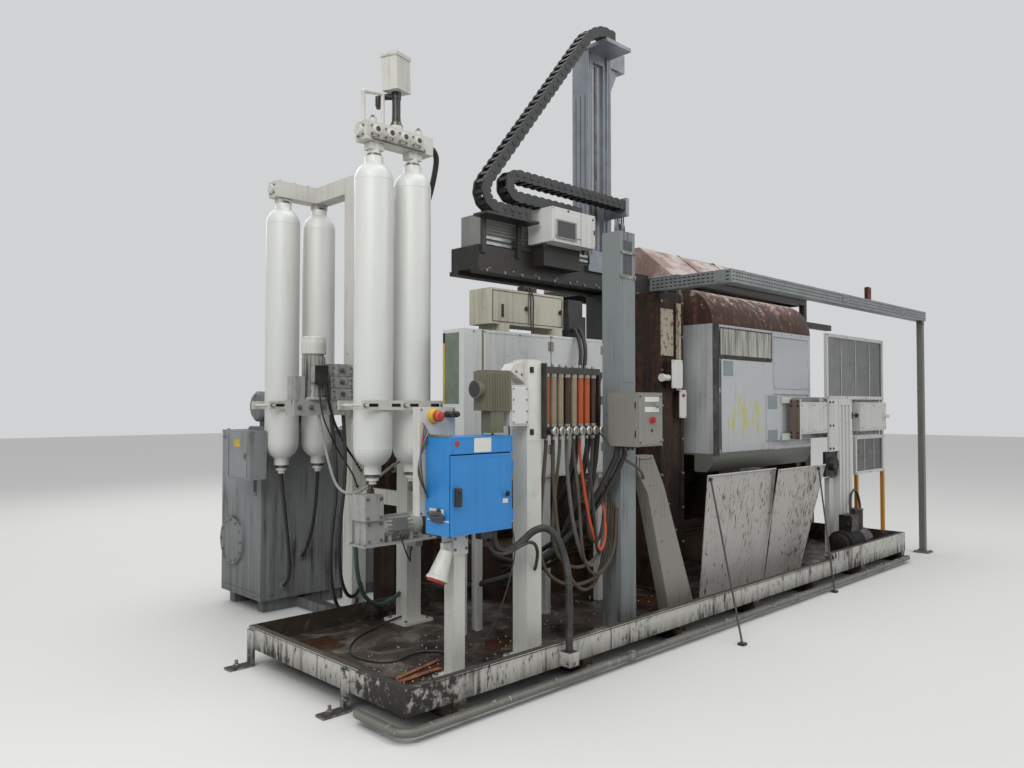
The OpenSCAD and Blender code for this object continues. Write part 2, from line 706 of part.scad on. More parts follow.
// The sliding door: a framed front with a cheek at each end and the drive's bracket.
bracket_x0 = 4370;
bracket_x1 = 4650;
module safety_door() plan() color(steel_grey) {
    x1 = door_x + door_l;
    frame_w = 50;
    seam_x = door_x + 1000;
    block([door_x, door_y + 8, skirt_z], [x1, door_y + door_t, door_top_z]);
    for (x = [door_x, seam_x - 15, x1 - frame_w])
        block([x, door_y, skirt_z], [x + frame_w, door_y + 9, door_top_z]);
    for (z = [skirt_z, 1700, door_top_z - frame_w])
        block([door_x, door_y, z], [x1, door_y + 9, z + frame_w]);
    along_x(door_x, x1) skirt_profile();
    for (x = [door_x, x1 - 12]) {
        block([x, door_y + door_t - 1, skirt_z], [x + 12, door_back - 20, door_top_z]);
        along_x(x, x + 12) intersection() {
            translate([door_y + skirt_r, skirt_z]) circle(r = skirt_r, $fn = 96);
            translate([door_y, skirt_z - skirt_r * sin(skirt_turn)])
                square([skirt_r, skirt_r * sin(skirt_turn) + 1]);
        }
    }
    bracket_y = stand_y1 + 10 + move_gap;
    block([bracket_x0, bracket_y, 1280], [bracket_x1, door_y + 9, 1690]);
}

// The rounded rusty top of the door, with the two rollers that it hangs from.
module door_top_band() plan() color(rust) {
    x1 = door_x + door_l;
    along_x(door_x, x1) intersection() {
        translate([door_back, door_top_z]) ring(band_r, 10);
        translate([door_y, door_top_z]) square([band_r, band_r]);
    }
    for (x = [door_x, x1 - 12])
        along_x(x, x + 12) intersection() {
            translate([door_back, door_top_z]) circle(r = band_r, $fn = 96);
            translate([door_y, door_top_z]) square([band_r, band_r]);
        }
    for (x = [door_x + 250, x1 - 330]) {
        block([x, door_back - 20, door_rail_z + 4], [x + 80, door_rail_y - move_gap, band_z1 - 5]);
        bar_y(door_rail_y - move_gap - 1, door_rail_y + 52, x + 40, door_rail_z + roller_d / 2 + seat, roller_d);
    }
}

// Posts and rails behind the door carry the hood and the rail that the door runs on.
module hood_frame() plan() color(dark) {
    w = 60;
    rear_y1 = axis_y + platen_w / 2 - 50;
    for (x = [hood_x0, hood_x1 - w]) {
        block([x, hood_y, deck_z], [x + w, hood_y + w, hood_z]);
        block([x, rear_y1 - w, bed_h - 100], [x + w, rear_y1, hood_z]);
        block([x, bed_y1, bed_h - 100], [x + w, rear_y1, bed_h - 40]);
        block([x, hood_y, hood_z - w], [x + w, rear_y1, hood_z]);
    }
    block([hood_x0, hood_y, hood_z - w], [hood_x1, hood_y + w, hood_z]);
    block([hood_x0, rear_y1 - w, hood_z - w], [hood_x1, rear_y1, hood_z]);
    block([door_x - 100, door_rail_y, door_rail_z - 60], [6600, door_rail_y + 61, door_rail_z]);
}

// The rusty hood is one sheet that slopes up from the door and runs flat to the rear.
hood_rise = 300;
module hood_sheet() plan() color("#8a5f52") {
    t = 6;
    y0 = hood_y - 20;
    y1 = axis_y + platen_w / 2 - 50;
    along_x(hood_x0, hood_x1) polygon([
        [y0, hood_z], [y0 + 60, hood_z], [y0 + 420, hood_z + hood_rise - t],
        [y1 - 40, hood_z + hood_rise - t], [y1 - 40, hood_z], [y1, hood_z], [y1, hood_z + hood_rise],
        [y0 + 418, hood_z + hood_rise], [y0 + 58, hood_z + t], [y0, hood_z + t]
    ]);
    for (x = [hood_x0, hood_x1 - t])
        along_x(x, x + t) polygon([
            [y0 + 60, hood_z], [y0 + 418, hood_z + hood_rise - t + 1], [y1 - 39, hood_z + hood_rise - t + 1],
            [y1 - 39, hood_z]
        ]);
}

// A grooved stand in front of the door carries its drive; a plate and a short leg widen it.
stand_y0 = 320;
module drive_stand() plan() color(steel_white) {
    difference() {
        block([stand_x0, stand_y0, deck_z], [stand_x1, stand_y1, stand_z]);
        for (i = [0 : 2]) {
            x = stand_x0 + 35 + i * 80;
            block([x, stand_y0 - 1, deck_z + 120], [x + 50, stand_y0 + 15, stand_z - 60]);
        }
    }
    block([stand_x0 - 210, stand_y0 + 10, 1145], [stand_x0 + 1, stand_y0 + 30, stand_z]);
    block([stand_x0 - 110, stand_y1 - 50, deck_z], [stand_x0 + 1, stand_y1, 880]);
    block([stand_x0 - 130, stand_y0 - 40, deck_z], [stand_x1 + 40, stand_y1, deck_z + 20]);
}

// Under the plate hangs a gearbox; a motor with its pump lies in the pan before the stand.
module drive_motor() plan() color(dark) {
    x = stand_x0;
    block([x - 250, stand_y0 + 30, 900], [x, stand_y1 - 51, 1144]);
    bar_y(stand_y0 - 20, stand_y0 + 31, x - 130, 1020, 130);
    bar_x(x - 310, x + 170, 190, 270, 250);
    bar_x(x - 340, x - 309, 190, 270, 200);
    for (dx = [-250, 60]) block([x + dx, 110, deck_z], [x + dx + 50, 270, 200]);
    block([x - 200, 130, 380], [x - 20, 250, 540]);
    translate([x + 80, 190, 380]) cylinder(d = 110, h = 200);
}

// Two rails and the covers of the door's drive run across the back of the stand.
rail_z = [1280, 1620];
post_x = 6870;
module door_drive() plan() color(steel_white) {
    for (z = rail_z) block([4620, stand_y1, z], [post_x - 10, stand_y1 + 10, z + 60]);
    for (x = [[4800, stand_x0 - 214], [6160, post_x - 10]]) {
        block([x[0], 350, rail_z[0] + 50], [x[1], stand_y1 + 5, rail_z[1] + 10]);
        block([x[0] + 20, 344, rail_z[0] + 70], [x[1] - 20, 351, rail_z[1] - 10]);
    }
    block([4780, 335, rail_z[0]], [4801, stand_y1 + 1, rail_z[1] + 40]);
    bar_y(300, 345, 6800, 1480, 36);
    block([6740, 296, 1465], [6820, 306, 1495]);
}

// Wire mesh panels in angle frames stand beside the drive, on two legs.
mesh_y = 395;
module mesh_frame(x0, x1, z0, z1, bars) {
    w = 34;
    for (x = [x0, x1 - w]) block([x, mesh_y, z0], [x + w, mesh_y + 30, z1]);
    for (z = [z0, z1 - w]) block([x0, mesh_y, z], [x1, mesh_y + 30, z + w]);
    for (i = [1 : bars]) {
        x = x0 + i * (x1 - x0) / (bars + 1);
        block([x - 6, mesh_y + 10, z0 + 1], [x + 6, mesh_y + 20, z1 - 1]);
    }
}
module mesh_panels() plan() color(steel_grey) {
    mesh_frame(5485, post_x + 40, stand_z, 2320, 3);
    mesh_frame(6152, post_x + 40, 870, 1274, 2);
    block([post_x, mesh_y, 0], [post_x + 40, mesh_y + 30, stand_z + 1]);
    block([6180, mesh_y, deck_z], [6214, mesh_y + 30, 871]);
}

// The cable tray is an open channel over the door, with a short leg back to the tower.
tray_t = 4;
tray_x0 = 2990;
tray_x1 = 7060;
module cable_tray() plan() color(steel_grey) {
    y0 = -10;
    leg_y1 = tower_y0 + 90;
    z1 = tray_z + tray_h;
    block([tray_x0, y0, tray_z], [tray_x1, y0 + tray_w, tray_z + tray_t]);
    block([tray_x0, y0, tray_z], [tray_x1, y0 + tray_t, z1]);
    block([tray_x0 + tray_w, y0 + tray_w - tray_t, tray_z], [tray_x1, y0 + tray_w, z1]);
    block([tray_x0, y0 + tray_w - 1, tray_z], [tray_x0 + tray_w, leg_y1, tray_z + tray_t]);
    block([tray_x0, y0, tray_z], [tray_x0 + tray_t, leg_y1, z1]);
    block([tray_x0 + tray_w - tray_t, y0 + tray_w - tray_t, tray_z], [tray_x0 + tray_w, leg_y1, z1]);
}
module tray_post() plan() color(steel_grey) {
    block([7000, 10, 0], [7060, 70, tray_z]);
    block([6950, -40, 0], [7110, 120, 12]);
}

// The gantry beam rests on a pedestal on the fixed platen.
beam_y0 = 1150;
beam_y1 = 1450;
beam_x0 = 1500;
module gantry_beam() plan() color(dark) {
    z1 = beam_z + beam_h;
    block([beam_x0, beam_y0, beam_z + 30], [fixed_x + fixed_t + 50, beam_y1, z1]);
    for (y = [beam_y0 - 20, beam_y1 - 80])
        block([beam_x0, y, beam_z], [fixed_x + fixed_t + 50, y + 100, beam_z + 31]);
    block([fixed_x + 30, beam_y0 - 30, platen_z1], [fixed_x + fixed_t - 30, beam_y1 + 30, beam_z + 1]);
    for (x = [beam_x0 + 20, beam_x0 + 380])
        block([x, beam_y0 - 20, z1 - 60], [x + 40, beam_y0 + 1, chain_z - 18]);
    block([beam_x0 - 50, beam_y0 - 150, chain_z - 18], [beam_x0 + 480, beam_y0, chain_z]);
}

// A cover with louvres over a two-line rail encloses the gantry's slide.
louvre_step = 24;
module gantry_bellows() plan() color(steel_grey) {
    x0 = beam_x0 + 60;
    x1 = 2740;
    z0 = beam_z + beam_h;
    block([x0, beam_y0 + 42, z0], [x1, beam_y1 - 42, z0 + 240]);
    for (z = [z0 + 14, z0 + 54]) block([x0, beam_y0 + 26, z], [x1, beam_y0 + 43, z + 26]);
    for (i = [0 : 5], side = [beam_y0 + 30, beam_y1 - 43])
        block([x0 + 10, side, z0 + 96 + i * louvre_step], [x1 - 20, side + 13, z0 + 108 + i * louvre_step]);
}

// A white box with a dark window hangs on the beam's front.
box_z0 = 2820;
box_z1 = 3080;
module gantry_box() plan() color(steel_white) {
    block([2010, 900, box_z0], [2510, beam_y0, box_z1]);
    block([2060, beam_y0 - 120, beam_z + 100], [2460, beam_y0, box_z0 + 1]);
    block([2050, 894, box_z0 + 50], [2330, 901, box_z1 - 40]);
}

level_x0 = 1760;         // the level chain's bend, its radius and the links of its upper run
level_r = 80;
level_links = 17;

// The mast is a tall profile with two rails on a carriage; its head carries a small box.
mast_x = 2800;
mast_w = 300;
module gantry_mast() plan() color(steel_grey) {
    z0 = beam_z + beam_h;
    y0 = beam_y0 + 80;
    y1 = beam_y1 - 80;
    block([mast_x - 40, beam_y0 + 20, z0], [mast_x + mast_w + 40, beam_y1 - 20, z0 + 90]);
    difference() {
        block([mast_x + 30, y0, z0 + 89], [mast_x + mast_w - 30, y1, mast_top_z]);
        block([mast_x + 80, y0 - 1, z0 + 150], [mast_x + mast_w - 80, y0 + 30, mast_top_z - 80]);
    }
    for (x = [mast_x, mast_x + mast_w - 50])
        block([x, y0 - 20, z0 + 89], [x + 50, y1 + 20, mast_top_z]);
    block([mast_x - 10, beam_y0 - 150, mast_top_z - 1], [mast_x + mast_w + 10, y1 + 20, mast_top_z + 30]);
    block([mast_x + mast_w + 9, y0, mast_top_z - 60], [mast_x + mast_w + 220, y1, mast_top_z + 100]);
    along_y(y0 + 20, y0 + 32) polygon([
        [mast_x + mast_w - 1, mast_top_z - 360], [mast_x + mast_w + 150, mast_top_z - 61],
        [mast_x + mast_w + 150, mast_top_z - 59], [mast_x + mast_w - 1, mast_top_z - 59]
    ]);
    bracket_x = level_x0 + level_links * link_pitch + seat;
    bracket_z = box_z1 + chain_h / 2 + seat + 2 * level_r;
    block([bracket_x, beam_y0 - 150, bracket_z - 90], [bracket_x + 40, y0 - 15, bracket_z + 60]);
}

// An energy chain: two side plates nicked at every joint, tied by crossbars. Its path runs
// through the joints of the links, given as [x, z].
chain_h = 84;
chain_z = 2970;
plate_t = 14;
bar_t = 9;
bar_w = 26;
function plate_edge(path, side) = [
    for (i = [0 : len(path) - 2])
        let (d = path[i + 1] - path[i], n = [-d[1], d[0]] / norm(d) * side * chain_h / 2, g = 0.35 * d)
            each [path[i] + g + n, path[i + 1] - g + n, path[i + 1] + 0.8 * n]
];
function backwards(list) = [for (i = [len(list) - 1 : -1 : 0]) list[i]];
module chain(path) {
    outline = concat(plate_edge(path, 1), backwards(plate_edge(path, -1)));
    for (y = [0, chain_w - plate_t]) along_y(y, y + plate_t) polygon(outline);
    for (i = [0 : len(path) - 2]) {
        d = path[i + 1] - path[i];
        middle = (path[i] + path[i + 1]) / 2;
        translate([middle[0], 0, middle[1]]) rotate([0, -atan2(d[1], d[0]), 0])
            for (z = [5 - chain_h / 2, chain_h / 2 - 5 - bar_t])
                translate([-bar_w / 2, plate_t - 1, z]) cube([bar_w, chain_w - 2 * plate_t + 2, bar_t]);
    }
}

// Joints along a straight and along a bend; angles are in degrees from +X.
function straight(from, to) = let (n = max(1, round(norm(to - from) / link_pitch)))
    [for (i = [0 : n]) from + (to - from) * i / n];
function bend(centre, r, a0, a1) = let (n = max(3, ceil(abs(a1 - a0) * PI / 180 * r / link_pitch)))
    [for (i = [1 : n - 1]) let (a = a0 + (a1 - a0) * i / n) centre + r * [cos(a), sin(a)]];

// The upright chain lies in its trough, turns back on itself and leans up to the mast's head.
module chain_upright() plan() color(dark) {
    r = 110;
    x0 = beam_x0 + 60;
    z0 = chain_z + chain_h / 2 + seat;
    lean = 46;
    centre = [x0, z0 + r];
    turn_end = centre + r * [cos(90 + lean), sin(90 + lean)];
    head = [mast_x - 230, mast_top_z - 40];
    rest_z = mast_top_z + 30 + chain_h / 2 + seat;
    translate([0, beam_y0 - 140, 0]) chain(concat(
        straight([x0 + 5 * link_pitch, z0], [x0, z0]),
        bend(centre, r, 270, 90 + lean),
        straight(turn_end, head),
        [head + [56, 50], head + [122, 85], [mast_x - 36, rest_z], [mast_x + 39, rest_z], [mast_x + 114, rest_z]]
    ));
}

// The level chain lies on the box and turns back over itself to the carriage.
module chain_level() plan() color(dark) {
    r = level_r;
    x0 = level_x0;
    z0 = box_z1 + chain_h / 2 + seat;
    centre = [x0, z0 + r];
    translate([0, beam_y0 - 140, 0]) chain(concat(
        straight([x0 + 10 * link_pitch, z0], [x0, z0]),
        bend(centre, r, 270, 90),
        straight([x0, z0 + 2 * r], [x0 + level_links * link_pitch, z0 + 2 * r])
    ));
}

// The service column carries the wiring box; a bundle of leads leaves its top.
module service_column() plan() color(steel_grey) {
    y1 = column_y + 150;
    difference() {
        block([column_x, column_y, deck_z], [column_x + column_w, y1, column_z]);
        block([column_x + 30, column_y - 1, 1760], [column_x + column_w - 30, column_y + 12, column_z - 60]);
    }
    block([column_x - 50, column_y - 30, deck_z], [column_x + column_w + 50, y1 + 40, deck_z + 20]);
    block([column_x - 110, column_y + 60, hose_end_z + 30], [column_x + 1, column_y + 100, hose_end_z + 80]);
    for (x = hose_end_x) translate([x, column_y + 80, hose_end_z]) cylinder(d = 22, h = 31);
}
module junction_box() plan() color(steel_grey) {
    block([1700, -100, 1340], [column_x + column_w - 20, column_y, 1680]);
    block([1712, -106, 1352], [column_x + column_w - 32, -99, 1668]);
    bar_y(-130, -105, 1900, 1600, 34);
}

// A flat inclined duct brings the leads down from the column to the pan.
module cable_trunk() plan() color(steel_grey) {
    y0 = column_y + 10;
    along_y(y0, y0 + 90) polygon([
        [2400, deck_z], [2690, deck_z], [2690, deck_z + 60], [2330, 1040], [2200, 1260],
        [2020, 1260], [2020, 1160], [2140, 1000]
    ]);
    block([column_x + column_w, y0 + 10, 1170], [2040, y0 + 70, 1240]);
}

// The white pillar with its head bracket and a white switch box.
module white_pillar() plan() color(steel_white) {
    x1 = pillar_x + pillar_w;
    y1 = pillar_y + pillar_w;
    block([pillar_x, pillar_y, deck_z], [x1, y1, pillar_z]);
    block([pillar_x - 40, pillar_y - 40, deck_z], [x1 + 40, y1 + 40, deck_z + 15]);
    block([850, pillar_y - 10, 1480], [pillar_x + 1, y1 - 30, 1716]);
    along_y(pillar_y + 20, y1 - 20) polygon([
        [pillar_x + 1, pillar_z - 140], [pillar_x + 1, pillar_z - 10], [pillar_x - 90, pillar_z - 30],
        [pillar_x - 120, pillar_z - 70]
    ]);
}
module pillar_lamp() plan() color("#6d6a55") {
    y0 = pillar_y - 20;
    block([660, y0, 1570], [850, y0 + 110, 1790]);
    bar_x(630, 661, y0 + 55, 1690, 90);
    block([700, y0 + 10, 1445], [800, y0 + 90, 1571]);
}

// The flow meters stand between a top and a bottom manifold on the pillar's side.
panel_x = 1120;
panel_y = 140;
panel_z0 = 1420;
panel_z1 = 1830;
function meter_x(i) = pillar_x + pillar_w + 40 + i * meter_pitch;
module flow_panel() plan() color(dark) {
    x0 = pillar_x + pillar_w;
    x1 = meter_x(meters - 1) + 40;
    block([x0, panel_y - 10, panel_z0 - 20], [x0 + 8, panel_y + 80, panel_z1 + 20]);
    block([x1 - 8, panel_y, panel_z0], [x1, panel_y + 60, panel_z1]);
    block([x0 + 1, panel_y, panel_z0], [x1, panel_y + 60, panel_z0 + 50]);
    block([x0 + 1, panel_y, panel_z1 - 40], [x1, panel_y + 60, panel_z1]);
    block([x0 + 1, panel_y + 60, panel_z0], [x1, panel_y + 66, panel_z1]);
    for (i = [0 : meters - 1]) {
        bar_y(panel_y - 34, panel_y + 1, meter_x(i), panel_z0 + 25, 34);
        translate([meter_x(i), panel_y + 30, panel_z0 - 30]) cylinder(d = 20, h = 31);
    }
}
module flow_tubes() plan() color("#b5532c") {
    for (i = [0 : meters - 1]) translate([meter_x(i), panel_y + 30, panel_z0 + 50]) {
        cylinder(d = 30, h = panel_z1 - panel_z0 - 90);
        cylinder(d = 40, h = 24);
        translate([0, 0, panel_z1 - panel_z0 - 114]) cylinder(d = 40, h = 24);
    }
}

// The control cabinet is a folded steel box, open at the front under a fixed strip.
wall = 3;
strip_h = 91;
strip_gap = 6;
leaf_x1 = cabinet_x + cabinet_w - 5;
hinge_x = cabinet_x + cabinet_w + 6;
hinge_y = leaf_y + leaf_t / 2;
hinge_z = [cabinet_z + 50, cabinet_z + cabinet_h - strip_h - 110];
knuckle_d = 16;
knuckle_h = 28;
module control_cabinet() plan() color("#2f86c9") {
    x1 = cabinet_x + cabinet_w;
    z1 = cabinet_z + cabinet_h;
    y1 = cabinet_y + cabinet_depth;
    difference() {
        union() {
            block([cabinet_x, cabinet_y, cabinet_z], [x1, y1, z1]);
            block([cabinet_x, leaf_y, z1 - strip_h], [x1, cabinet_y + 1, z1]);
        }
        block([cabinet_x + wall, cabinet_y - 1, cabinet_z + wall], [x1 - wall, y1 - wall, z1 - strip_h]);
        block([cabinet_x + wall, leaf_y + wall, z1 - strip_h + wall], [x1 - wall, y1 - wall, z1 - wall]);
        block([cabinet_x + wall, cabinet_y, z1 - strip_h - 1], [x1 - wall, y1 - wall, z1 - strip_h + wall + 1]);
    }
    block([cabinet_x + 30, y1 - 16, cabinet_z + 30], [x1 - 30, y1 - 13, z1 - strip_h - 20]);
    for (x = [cabinet_x + 40, x1 - 60], z = [cabinet_z + 40, z1 - strip_h - 60])
        bar_y(y1 - 14, y1 - 2, x + 10, z + 10, 12);
    for (z = hinge_z) {
        translate([hinge_x, hinge_y, z]) cylinder(d = pin_d, h = 2 * knuckle_h + 2);
        translate([hinge_x, hinge_y, z]) cylinder(d = knuckle_d, h = knuckle_h);
        block([hinge_x - 4, hinge_y, z], [hinge_x + 4, cabinet_y + 20, z + knuckle_h]);
        block([x1 - 2, cabinet_y, z], [hinge_x + 4, cabinet_y + 20, z + knuckle_h]);
    }
}

// The cabinet's door with its handle, its lock and the upper halves of the hinges.
module cabinet_door() plan() color("#2f86c9") {
    z0 = cabinet_z + 4;
    z1 = cabinet_z + cabinet_h - strip_h - strip_gap;
    difference() {
        union() {
            block([cabinet_x + 4, leaf_y, z0], [leaf_x1, leaf_y + leaf_t, z1]);
            for (z = hinge_z) {
                translate([hinge_x, hinge_y, z + knuckle_h + 1]) cylinder(d = knuckle_d, h = knuckle_h);
                block([leaf_x1 - 1, hinge_y - 5, z + knuckle_h + 1], [hinge_x, hinge_y + 5, z + 2 * knuckle_h + 1]);
            }
        }
        for (z = hinge_z)
            translate([hinge_x, hinge_y, z + knuckle_h]) cylinder(d = pin_d + 0.2, h = knuckle_h + 3);
    }
    block([cabinet_x + 24, leaf_y - 24, 1080], [cabinet_x + 46, leaf_y + 1, 1150]);
    bar_y(leaf_y - 16, leaf_y + 1, leaf_x1 - 50, 1110, 30);
}

// The cabinet stands on a square post with a wider head; a conical socket leans out of it.
cabinet_post_x = 487;
cabinet_post_y = 225;
module cabinet_post() plan() color(steel_white) {
    x = cabinet_post_x;
    y = cabinet_post_y;
    block([x, y, deck_z], [x + post_w, y + post_w, cabinet_z]);
    block([x - 12, y - 12, cabinet_z - 120], [x + post_w + 12, y + post_w + 10, cabinet_z]);
    block([x - 45, y - 45, deck_z], [x + post_w + 45, y + post_w + 45, deck_z + 12]);
    translate([x - 60, y - 10, cabinet_z - 90]) rotate([0, 205, 0]) cylinder(d1 = 70, d2 = 110, h = 150);
    block([x - 70, y, cabinet_z - 110], [x + 1, y + 30, cabinet_z - 50]);
}

// A white plate behind the cabinet carries the emergency stop and two plugs.
module estop_panel() plan() color(steel_white) {
    y0 = cabinet_y + cabinet_depth;
    block([cabinet_x - 36, y0 + 10, 1000], [cabinet_x + 214, y0 + 70, 1590]);
    block([cabinet_x + 40, y0, 1180], [cabinet_x + 160, y0 + 11, 1360]);
    bar_y(y0 - 30, y0 + 11, cabinet_x + 60, 1540, 40);
    bar_y(y0 - 50, y0 - 29, cabinet_x + 60, 1540, 56);
    for (x = [150, 190]) bar_y(y0 - 30, y0 + 11, cabinet_x + x, 1550, 30);
}

// Hoses and conduits are round tubes swept along points chosen by hand.
function spline(p0, p1, p2, p3, t) =
    0.5 * (2 * p1 + (p2 - p0) * t + (2 * p0 - 5 * p1 + 4 * p2 - p3) * t * t
           + (3 * p1 - p0 - 3 * p2 + p3) * t * t * t);
function smooth(p, k) = let (n = len(p) - 1) [
    for (i = [0 : n - 1], j = [0 : k - 1])
        spline(p[max(i - 1, 0)], p[i], p[i + 1], p[min(i + 2, n)], j / k),
    p[n]
];
function unit(v) = v / norm(v);
function heading(p, i) = unit(p[min(i + 1, len(p) - 1)] - p[max(i - 1, 0)]);
function turned(u, h) = unit(u - (u * h) * h);
function sides_of(p, i, u) = i == len(p) ? [] :
    let (s = turned(u, heading(p, i))) concat([s], sides_of(p, i + 1, s));
module tube(points, d, k) {
    p = smooth(points, k);
    n = 8;
    u = sides_of(p, 0, abs(heading(p, 0)[2]) > 0.9 ? [1, 0, 0] : [0, 0, 1]);
    rings = [for (i = [0 : len(p) - 1], j = [0 : n - 1])
        let (w = cross(heading(p, i), u[i]), a = 360 * j / n)
            p[i] + d / 2 * (cos(a) * u[i] + sin(a) * w)];
    last = (len(p) - 1) * n;
    polyhedron(rings, concat(
        [[for (j = [0 : n - 1]) j]],
        [[for (j = [n - 1 : -1 : 0]) last + j]],
        [for (i = [0 : len(p) - 2], j = [0 : n - 1])
            [i * n + j, (i + 1) * n + j, (i + 1) * n + (j + 1) % n, i * n + (j + 1) % n]]
    ));
}

hose_end_x = [1740, 1772, 1804];
hose_end_z = 1050;
conduit_points = [
    [760, 200, 906.7], [760, 200, 880], [760, 200, 850], [775, 185, 800], [815, 160, 775],
    [880, 120, 810], [960, 80, 880], [1040, 50, 890], [1100, 15, 820], [1130, -25, 660],
    [1130, -40, 480], [1130, -40, 330], [1130, -40, 260], [1130, -40, 190.3]
];
brown_points = [
    [1222, 170, 1389.7], [1222, 170, 1350], [1222, 170, 1310], [1235, 175, 1100], [1290, 185, 800],
    [1390, 195, 560], [1530, 200, 440], [1670, 205, 480], [1760, 210, 680], [1798, 210, 880],
    [1804, 210, 980], [1804, 210, 1015], [1804, 210, 1049.7]
];
grey_points = [
    [1346, 170, 1389.7], [1346, 170, 1350], [1346, 170, 1310], [1355, 165, 1120], [1400, 160, 860],
    [1480, 160, 660], [1580, 165, 590], [1680, 180, 660], [1745, 200, 840], [1770, 210, 960],
    [1772, 210, 990], [1772, 210, 1020], [1772, 210, 1049.7]
];
orange_points = [
    [1470, 170, 1389.7], [1470, 170, 1350], [1470, 170, 1310], [1478, 150, 1120], [1510, 130, 900],
    [1560, 120, 750], [1620, 125, 690], [1685, 145, 760], [1725, 180, 880], [1740, 208, 960],
    [1740, 210, 990], [1740, 210, 1020], [1740, 210, 1049.7]
];
manifold_points = [
    [1055.3, 1176, 3350], [1080, 1176, 3350], [1105, 1176, 3350], [1150, 1200, 3290], [1165, 1270, 3120],
    [1158, 1340, 2960], [1150, 1375, 2860], [1150, 1380, 2790], [1150, 1380, 2745], [1150, 1380, 2700.3]
];
module pillar_conduit() plan() color(dark) tube(conduit_points, 44, 2);
module brown_hose() plan() color("#5b4636") tube(brown_points, 24, 2);
module grey_hose() plan() color(steel_grey) tube(grey_points, 24, 2);
module orange_hose() plan() color("#c2571f") tube(orange_points, 18, 2);
module manifold_hose() plan() color(dark) tube(manifold_points, 40, 2);

machine_bed();
pan_floor();
pan_rim_front();
pan_rim_end();
kick_rail();
hydraulic_tank();
tank_pump();
tank_box();
bottles_front();
bottles_rear();
bottle_manifolds();
bottle_rack();
level_transmitter();
valve_group();
circulation_pump();
shot_unit();
fixed_platen();
moving_platen();
rear_platen();
tie_bars();
closing_gear();
side_tower();
guard_panels();
relay_box();
coupler_box();
rear_guard();
splash_shield();
shield_props();
safety_door();
door_top_band();
hood_frame();
hood_sheet();
drive_stand();
drive_motor();
door_drive();
mesh_panels();
cable_tray();
tray_post();
gantry_beam();
gantry_bellows();
gantry_box();
gantry_mast();
chain_upright();
chain_level();
service_column();
junction_box();
cable_trunk();
white_pillar();
pillar_lamp();
flow_panel();
flow_tubes();
control_cabinet();
cabinet_door();
cabinet_post();
estop_panel();
pillar_conduit();
brown_hose();
grey_hose();
orange_hose();
manifold_hose();
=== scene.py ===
import math
import random
from itertools import product

import bpy
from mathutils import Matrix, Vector


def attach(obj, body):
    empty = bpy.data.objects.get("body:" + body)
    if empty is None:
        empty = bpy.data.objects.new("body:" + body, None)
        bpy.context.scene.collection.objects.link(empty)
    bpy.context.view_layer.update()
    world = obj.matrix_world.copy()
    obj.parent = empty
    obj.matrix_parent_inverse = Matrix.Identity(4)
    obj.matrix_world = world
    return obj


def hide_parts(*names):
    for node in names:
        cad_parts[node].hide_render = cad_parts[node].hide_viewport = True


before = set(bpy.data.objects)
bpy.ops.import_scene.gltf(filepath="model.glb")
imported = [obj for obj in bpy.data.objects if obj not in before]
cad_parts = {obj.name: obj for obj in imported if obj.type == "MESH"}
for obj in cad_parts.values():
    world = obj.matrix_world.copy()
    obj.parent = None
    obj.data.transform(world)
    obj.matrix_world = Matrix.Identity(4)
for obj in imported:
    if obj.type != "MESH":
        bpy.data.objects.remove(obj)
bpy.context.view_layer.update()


def placed(name, data):
    """A new object in the scene."""
    made = bpy.data.objects.new(name, data)
    bpy.context.scene.collection.objects.link(made)
    return made


# The camera stands at eye height, where a visitor would walk up to the operator's side.
# The machine runs away from it to the right, half-way between end-on and side-on.
camera = placed("camera", bpy.data.cameras.new("camera"))
bpy.context.scene.camera = camera
camera.location = (-6.837, -4.950, 1.6)
camera.rotation_euler = [math.radians(a) for a in (91.5, 0, -44.5)]
camera.data.sensor_width = 36
camera.data.lens = 28.48
camera.data.clip_end = 200


def linear(colour):
    """An sRGB hex colour as linear red, green, blue and alpha."""
    parts = [int(colour[i:i + 2], 16) / 255 for i in (1, 3, 5)]
    return [(c / 12.92 if c <= 0.04045 else ((c + 0.055) / 1.055) ** 2.4) for c in parts] + [1.0]


def add(tree, kind, sockets=None, out=0, **settings):
    """Adds a node, gives its sockets values, hex colours or links, and returns one of its outputs."""
    made = tree.nodes.new("ShaderNode" + kind)
    for key, value in settings.items():
        setattr(made, key, value)
    for key, value in (sockets or {}).items():
        if isinstance(value, bpy.types.NodeSocket):
            tree.links.new(value, made.inputs[key])
        else:
            made.inputs[key].default_value = linear(value) if isinstance(value, str) else value
    return made.outputs[out] if made.outputs else None


def material(name, roughness=0.5, metallic=0.0):
    """A new material with its node tree and its shader."""
    made = bpy.data.materials.new(name)
    made.use_nodes = True
    shader = made.node_tree.nodes["Principled BSDF"]
    shader.inputs["Roughness"].default_value = roughness
    shader.inputs["Metallic"].default_value = metallic
    return made, made.node_tree, shader


